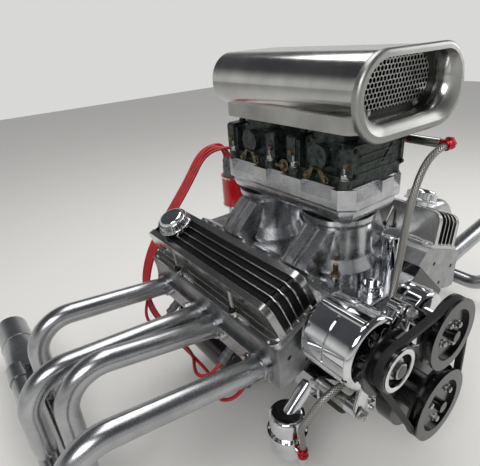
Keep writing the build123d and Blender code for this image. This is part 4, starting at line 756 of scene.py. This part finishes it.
def makeDriveFasteners():
    look = dict(pulleyRing=25, damperRing=38, caseRing=66, caseFace=-596.2,
                lugs=((-107, 113, -610.2), (40, 91, -617.5)),     # degrees from +X, reach, y
                pump=(-232, -455, -64), pumpRing=39.5, plateRing=24)
    makeBolts("pump_pulley_bolts", ringOf(pumpPlace, pulleyFloor, look["pulleyRing"], 4, 0.4))
    makeBolts("damper_bolts", ringOf((0, 0), pulleyFloor, look["damperRing"], 3, 0.5))
    x, z = alternatorPlace
    makeBolts("alternator_nut", [((x, pulleyFloor, z), (0, -1, 0))])
    makeBolts("alternator_case_screws",
              ringOf(alternatorPlace, look["caseFace"], look["caseRing"], 4, radians(16)))
    makeBolts("alternator_lug_bolts",
              [((x + reach * cos(radians(a)), y, z + reach * sin(radians(a))), (0, -1, 0))
               for a, reach, y in look["lugs"]])
    x, y, z = look["pump"]
    r = look["pumpRing"]
    turns = [2 * pi * i / 8 for i in range(8)]
    makeBolts("fuel_pump_screws", [((x + r * cos(a), y + r * sin(a), z), (0, 0, 1)) for a in turns])
    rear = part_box("flexplate")[1][1] / mm
    makeBolts("flexplate_bolts", [(place, (0, 1, 0))
                                  for place, _ in ringOf((0, 0), rear, look["plateRing"], 6)])


makeTopFasteners()
makeLowFasteners()
makeCarbFasteners()
makeDriveFasteners()
print("fasteners set:", len(boltLooks), "kinds")


# Valve covers: bright strips on the three fins, over the top and down both ends

def makeFinStrips():
    look = dict(width=2.8, crest=0.9, thick=0.5, edge=0.15, sunk=-0.6, lift=0.3,
                places=(-18.3, 0, 18.3), foot=235.0, crown=227.0, flange=8.0, low=12.0, high=81.0,
                bend=25.0, steps=10)
    half, crest = look["width"] / 2, look["crest"]
    section = ((-half, look["sunk"]), (-half, look["edge"]), (-crest, look["thick"]),
               (crest, look["thick"]), (half, look["edge"]), (half, look["sunk"]))
    lean = atan2(look["foot"] - look["crown"], look["high"] - look["flange"])
    turn = (pi / 2 - lean) / 2                 # half the turn at a bend
    middle = look["crown"] - look["bend"] * sin(turn) / cos(turn)
    outline = [(look["foot"] - (look["low"] - look["flange"]) * sin(lean) / cos(lean), look["low"])]
    for k in range(look["steps"] + 1):
        a = lean + (pi / 2 - lean) * k / look["steps"]
        outline.append((middle + look["bend"] * cos(a),
                        look["high"] - look["bend"] + look["bend"] * sin(a)))
    outline = outline + [(-y, z) for y, z in reversed(outline)]
    for side, bank in sides.items():
        shape = bmesh.new()
        for place in look["places"]:
            rows = []
            for k, (v, w) in enumerate(outline):
                before = Vector(outline[max(k - 1, 0)])
                after = Vector(outline[min(k + 1, len(outline) - 1)])
                out = Vector((after.y - before.y, before.x - after.x)).normalized()
                if out.dot(Vector((v, w - look["low"] - look["flange"]))) < 0:
                    out = -out
                rows.append([shape.verts.new(onBank(side, place + across, v + out[0] * rise,
                                                    w + look["lift"] + out[1] * rise))
                             for across, rise in section])
            for r, s in zip(rows, rows[1:]):
                for i in range(len(section)):
                    j = (i + 1) % len(section)
                    shape.faces.new((r[i], r[j], s[j], s[i]))
            shape.faces.new(rows[0])
            shape.faces.new(rows[-1][::-1])
        bringShape(f"fin_strips_{bank}", shape, "polished aluminium", "engine")


makeFinStrips()


# Spark plugs: plated shell, six sided hex and a ribbed boot

def makePlugs():
    look = dict(root=(245, 101), aim=(0.8, -0.6), places=(-160, -75, 75, 160))
    # profiles of (radius, height) from the plug's seat
    shell = [(0, -13), (8.8, -13), (8.8, 1), (0, 1)]
    hexagon = [(0, 1), (10.5, 1), (11.5, 2), (11.5, 10), (10.5, 11), (0, 11)]
    boot = [(0, 12), (7.5, 12), (8.2, 20), (10.2, 21), (10.5, 24), (10.5, 33), (9.4, 35), (9.4, 39),
            (10.4, 41), (10.4, 50), (9.4, 52), (9.4, 56), (10.4, 58), (10.4, 65), (6.5, 67), (0, 67)]
    for side, bank in sides.items():
        metal, rubber = bmesh.new(), bmesh.new()
        aim = (side * look["aim"][0], 0, look["aim"][1])
        for place in look["places"]:
            root = (side * look["root"][0], -bankMiddle[side] - place, look["root"][1])
            turned(metal, root, aim, shell)
            turned(metal, root, aim, hexagon, 6)
            turned(rubber, root, aim, boot, 24)
        bringShape(f"plug_boots_{bank}", rubber, "grey silicone", "engine",
                   [f"spark_plugs_{bank}"])
        bringShape(f"plug_shells_{bank}", metal, "bright zinc", "engine")


makePlugs()


# Magneto: clamp rings, and boots on the cap's towers

def makeMagnetoTrim():
    look = dict(station=12, body=44, low=256.5, high=339.0, ring=6, step=0.6, grip=0.5, proud=1.4,
                towers=8, tower=30, foot=373)
    y, inner, outer = -look["station"], look["body"] - look["grip"], look["body"] + look["proud"]
    band = [(inner, 0), (outer, look["step"]), (outer, look["ring"] - look["step"]), (inner, look["ring"])]
    rings = bmesh.new()
    for z in (look["low"], look["high"]):
        turned(rings, (0, y, z), (0, 0, 1), band, 48, closed=True)
    bringShape("magneto_rings", rings, "chrome plate", "engine")
    boot = [(6.1, 0), (7.6, 0), (7.6, 5), (7.0, 6), (7.0, 8), (7.6, 9), (7.6, 13), (5.6, 20), (4.05, 24),
            (4.05, 10), (6.1, 10)]
    boots = bmesh.new()
    for k in range(look["towers"]):
        a = 2 * pi * (k + 0.5) / look["towers"]
        place = (look["tower"] * cos(a), y + look["tower"] * sin(a), look["foot"])
        turned(boots, place, (0, 0, 1), boot, 20, closed=True)
    bringShape("tower_boots", boots, "grey silicone", "engine")


makeMagnetoTrim()


# Headers: weld beads where the tubes meet their flange, and a slip joint bead on each pipe

def makeWelds():
    look = dict(ports=((-191.5, 0.13), (-32.0, 0.09), (32.0, 0.2), (191.5, 0.165)),   # place and rise
                face=(285.6, 124.2), tube=23.0, bead=1.7, joint=(627.5, 261.5, -86.5), pipe=44.6,
                pipeBead=1.3)
    for side, bank in sides.items():
        shape = bmesh.new()
        for port, rise in look["ports"]:
            place = (side * look["face"][0], -bankMiddle[side] - port, look["face"][1])
            beadRing(shape, place, (side, 0, rise), look["tube"], look["bead"])
        x, y, z = look["joint"]
        beadRing(shape, (side * x, y, z), (0, 1, 0), look["pipe"], look["pipeBead"], 56)
        bringShape(f"weld_beads_{bank}", shape, "polished steel", "engine")


makeWelds()


# Carburettors: gold levers and links, dark trim on the bowls, red nuts on their inlets

def makeLevers():
    look = dict(x=-76.0, z=434.5, thick=2.2, shaft=24, cam=(-74, -291, 440), bar=(-330, -262, 434, 440))
    hub = [(0, 0), (8, 0), (8, 3), (5, 3.4), (5, 8), (0, 8)]
    link = [(0, 0), (1.6, 0), (1.6, 18), (0, 18)]
    wheel = [(0, 0), (13, 0), (13.5, 1), (13.5, 4), (11, 4.5), (11, 3), (6, 3), (6, 8), (4, 9), (0, 9)]
    x, z = look["x"], look["z"]
    gold = bmesh.new()
    for station in carbStations:
        for d, tip in ((-look["shaft"], (16, 16)), (look["shaft"], (-14, 20))):
            y = -station + d
            corners = [(x, y - 7, z - 5), (x, y + 7, z - 5),
                       (x, y + tip[0] + 4, z + tip[1]), (x, y + tip[0] - 5, z + tip[1] + 2)]
            slab(gold, corners, (-look["thick"], 0, 0))
            turned(gold, (x + 1, y, z), (-1, 0, 0), hub, 18)
        low, high = (x - 4, -station - 8, z + 18), (x - 4, -station + 10, z + 20)
        turned(gold, low, Vector(high) - Vector(low), link, 10)
    # the cam wheel between the carburettors, on its bar
    turned(gold, look["cam"], (-1, 0, 0), wheel, 28)
    x = look["cam"][0]
    rear, front, low, high = look["bar"]
    slab(gold, [(x, rear, low), (x, front, low), (x, front, high), (x, rear, high)], (-2.5, 0, 0))
    bringShape("throttle_levers", gold, "yellow zinc", "engine")


def makeBowlTrim():
    look = dict(reach=72, face=81.5, vent=(-38, 505), ribs=(466, 482), rib=2.0, slant=2.2,
                inlet=(76, 488))
    seatNut = [(0, 0), (8.5, 0), (8.5, 6), (0, 6)]
    tube = [(0, 0), (5, 0), (5, 4), (0, 4)]
    inletNut = [(0, 0), (9, 0), (10, 1), (10, 7), (9, 8), (0, 8)]
    dark, red = bmesh.new(), bmesh.new()
    for station in carbStations:
        for end in (-1, 1):
            y = -station + end * look["reach"]
            x, z = look["vent"]
            turned(dark, (x, y, z), (0, 0, 1), seatNut, 6)
            turned(dark, (x, y, z + 6), (0, 0, 1), tube, 16)
            # two level ribs and a slanted one on the bowl's face
            face = -station + end * look["face"]
            for z in look["ribs"]:
                slab(dark, [(-52, face, z), (52, face, z), (50, face, z + 3), (-50, face, z + 3)],
                     (0, end * look["rib"], 0))
            slab(dark, [(12, face, 462), (18, face, 462), (44, face, 492), (38, face, 492)],
                 (0, end * look["slant"], 0))
            x, z = look["inlet"]
            turned(red, (x, y, z), (1, 0, 0), inletNut, 6)
    bringShape("carb_trim", dark, "dark chromate", "engine")
    bringShape("inlet_nuts", red, "red anodised", "engine")


makeLevers()
makeBowlTrim()


# Alternator: rear posts, and the bright ring on its pulley

def makeAlternatorTrim():
    look = dict(rear=-496, posts=((-190, 230, 5), (-150, 234, 4), (-205, 205, 4)),    # x, z and radius
                front=-651.8)
    ring = [(30, 0), (38, 0), (38.4, 2.2), (36, 3.2), (31.5, 3.2), (30, 2.2)]
    shape = bmesh.new()
    for x, z, r in look["posts"]:
        post = [(0, -1), (r + 3, -1), (r + 3, 4), (r, 4), (r, 15), (r * 0.6, 16), (0, 16)]
        turned(shape, (x, look["rear"], z), (0, 1, 0), post, 12)
    bringShape("alternator_posts", shape, "yellow brass", "engine")
    shape = bmesh.new()
    x, z = alternatorPlace
    turned(shape, (x, look["front"], z), (0, -1, 0), ring, 48, closed=True)
    bringShape("alternator_ring", shape, "chrome plate", "alternator_rotor")


makeAlternatorTrim()


# Scoop screen: a lattice of six sided holes in a flat frame

def latticeTree():
    # one hexagon with a hexagon cut out stands at each point, and the sheet is then made thick
    tree, size = startTree("hole lattice", ("reach", "wire", "thick"))
    near = 0.05 * mm                           # corners closer than this become one
    cell = addNode(tree, "GeometryNodeMeshCircle", {"Vertices": 6, "Radius": size["reach"]},
                   fill_type="NGON")
    inner = addNode(tree, "GeometryNodeExtrudeMesh", {"Mesh": cell.outputs[0], "Offset Scale": 0.0},
                    mode="FACES")
    across = sums(tree, "MULTIPLY", size["reach"], sqrt(3))
    share = sums(tree, "SUBTRACT", 1.0, sums(tree, "DIVIDE", size["wire"], across))
    shrunk = addNode(tree, "GeometryNodeScaleElements",
                     {"Geometry": inner.outputs["Mesh"], "Selection": inner.outputs["Top"], "Scale": share},
                     domain="FACE")
    ring = addNode(tree, "GeometryNodeDeleteGeometry",
                   {"Geometry": shrunk.outputs[0], "Selection": inner.outputs["Top"]}, domain="FACE")
    turn = addNode(tree, "FunctionNodeEulerToRotation", {0: (radians(90), radians(30), 0)})
    placed = addNode(tree, "GeometryNodeInstanceOnPoints",
                     {"Points": size["Geometry"], "Instance": ring.outputs[0],
                      "Rotation": turn.outputs[0]})
    real = addNode(tree, "GeometryNodeRealizeInstances", {0: placed.outputs[0]})
    sheet = addNode(tree, "GeometryNodeMergeByDistance", {"Geometry": real.outputs[0], "Distance": near})
    raised = addNode(tree, "GeometryNodeExtrudeMesh",
                     {"Mesh": sheet.outputs[0], "Offset Scale": size["thick"], "Individual": False},
                     mode="FACES")
    back = addNode(tree, "GeometryNodeFlipFaces", {0: sheet.outputs[0]})
    both = addNode(tree, "GeometryNodeJoinGeometry")
    for form in (raised.outputs["Mesh"], back.outputs[0]):
        tree.links.new(form, both.inputs[0])
    whole = addNode(tree, "GeometryNodeMergeByDistance", {"Geometry": both.outputs[0], "Distance": near})
    endTree(tree, whole.outputs[0], size["finish"])
    return tree


def makeScreen():
    look = dict(pitch=9.4, wire=1.7, thick=1.4, frame=10.0, back=-480.0, depth=3.0, arcSteps=24)
    low, high = (Vector(corner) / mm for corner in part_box("scoop_screen"))
    half, radius, middle = (high.x - low.x) / 2, (high.z - low.z) / 2, (high.z + low.z) / 2
    reach = look["pitch"] / sqrt(3)            # from a hole's middle to the middle of a corner
    rise = reach * 1.5                         # from one row of holes to the next

    def inset(x, z):
        # how far a place lies inside the screen's outline, which has round ends
        past = max(abs(x) - (half - radius), 0)
        return radius - Vector((past, z - middle)).length

    def outline(edge):
        r = radius - edge
        turns = [-pi / 2 + pi * k / look["arcSteps"] for k in range(look["arcSteps"] + 1)]
        right = [(half - radius + r * cos(a), middle + r * sin(a)) for a in turns]
        return right + [(-x, z) for x, z in reversed(right)]

    rows, columns = int(radius / rise) + 1, int(half / look["pitch"]) + 1
    grid = [((column + 0.5 * (row % 2)) * look["pitch"], middle + row * rise)
            for row in range(-rows, rows + 1) for column in range(-columns, columns + 1)]
    rear = look["back"] - (look["depth"] - look["thick"]) / 2
    holes = [(x, rear, z) for x, z in grid if inset(x, z) >= look["frame"] - look["pitch"] / 2]
    mesh = growMesh("screen_lattice", latticeTree(), holes, (reach, look["wire"], look["thick"]),
                    "bright zinc")
    bringIn("screen_lattice", mesh, "bright zinc", "engine", ["scoop_screen"])
    back, front = look["back"], look["back"] - look["depth"]
    frame = bmesh.new()
    loops = [[frame.verts.new((x, y, z)) for x, z in outline(edge)]
             for edge, y in ((0, back), (0, front), (look["frame"], front), (look["frame"], back))]
    for a, b in zip(loops, loops[1:] + loops[:1]):
        for k in range(len(a)):
            j = (k + 1) % len(a)
            frame.faces.new((a[k], a[j], b[j], b[k]))
    bringShape("screen_frame", frame, "black oxide", "engine")


makeScreen()
print("trim pieces made")


# Stage: pale floor that meets a pale studio, and soft lamps

# horizon: the heights between which the backdrop turns into the overhead tone
stageLook = dict(floor=-0.2, size=6.0, colour="#d9d8d5", background="#d8d8d6", overhead="#4c4d50",
                 horizon=(0.10, 0.45), fill=0.5)
lampTarget = (0, -0.3, 0.2)
lampLooks = {
    "key softbox": dict(place=(-1.8, -1.6, 2.2), size=(1.6, 1.2), power=38),
    "top softbox": dict(place=(0.3, 0.2, 2.4), size=(1.2, 2.2), power=30),
    "side softbox": dict(place=(2.2, -1.2, 1.2), size=(0.8, 1.6), power=18),
}


def makeFloor():
    mesh = bpy.data.meshes.new("studio_floor")
    s = stageLook["size"]
    z = stageLook["floor"]
    mesh.from_pydata([(-s, -s, z), (s, -s, z), (s, s, z), (-s, s, z)], [], [(0, 1, 2, 3)])
    floor = bpy.data.objects.new("studio_floor", mesh)
    bpy.context.scene.collection.objects.link(floor)
    material, _, surface = startMaterial("matte studio paper", Roughness=0.9)
    surface.inputs["Base Color"].default_value = toLinear(stageLook["colour"])
    mesh.materials.append(material)


def makeWorld():
    # pale at the horizon, darker overhead, so that bright metal has something to mirror
    world = bpy.data.worlds.new("studio")
    bpy.context.scene.world = world
    world.use_nodes = True
    tree = world.node_tree
    tree.nodes.clear()
    out = addNode(tree, "ShaderNodeOutputWorld")
    ray = addNode(tree, "ShaderNodeLightPath")
    seen = sums(tree, "MAXIMUM", ray.outputs["Is Camera Ray"], ray.outputs["Is Glossy Ray"])
    seen = sums(tree, "MAXIMUM", seen, ray.outputs["Is Transmission Ray"])
    place = addNode(tree, "ShaderNodeTexCoord").outputs["Generated"]
    split = addNode(tree, "ShaderNodeSeparateXYZ", {0: place})
    low, high = stageLook["horizon"]
    height = addNode(tree, "ShaderNodeMapRange",
                     {"Value": split.outputs[2], "From Min": low, "From Max": high})
    tone = mixColour(tree, height.outputs[0], toLinear(stageLook["background"]),
                     toLinear(stageLook["overhead"]))
    light = addNode(tree, "ShaderNodeBackground",
                    {"Color": toLinear("#ffffff"), "Strength": stageLook["fill"]})
    plain = addNode(tree, "ShaderNodeBackground", {"Color": tone, "Strength": 1.0})
    mix = addNode(tree, "ShaderNodeMixShader", {0: seen, 1: light.outputs[0], 2: plain.outputs[0]})
    tree.links.new(mix.outputs[0], out.inputs["Surface"])


def makeLamps():
    for name, look in lampLooks.items():
        lamp = bpy.data.lights.new(name, "AREA")
        lamp.shape = "RECTANGLE"
        lamp.size, lamp.size_y = look["size"]
        lamp.energy = look["power"]
        holder = bpy.data.objects.new(name, lamp)
        holder.location = look["place"]
        ahead = Vector(lampTarget) - Vector(look["place"])
        holder.rotation_euler = ahead.to_track_quat("-Z", "Y").to_euler()
        bpy.context.scene.collection.objects.link(holder)


makeFloor()
makeWorld()
makeLamps()
bpy.context.scene.view_settings.view_transform = "Standard"
print("stage and lamps set")
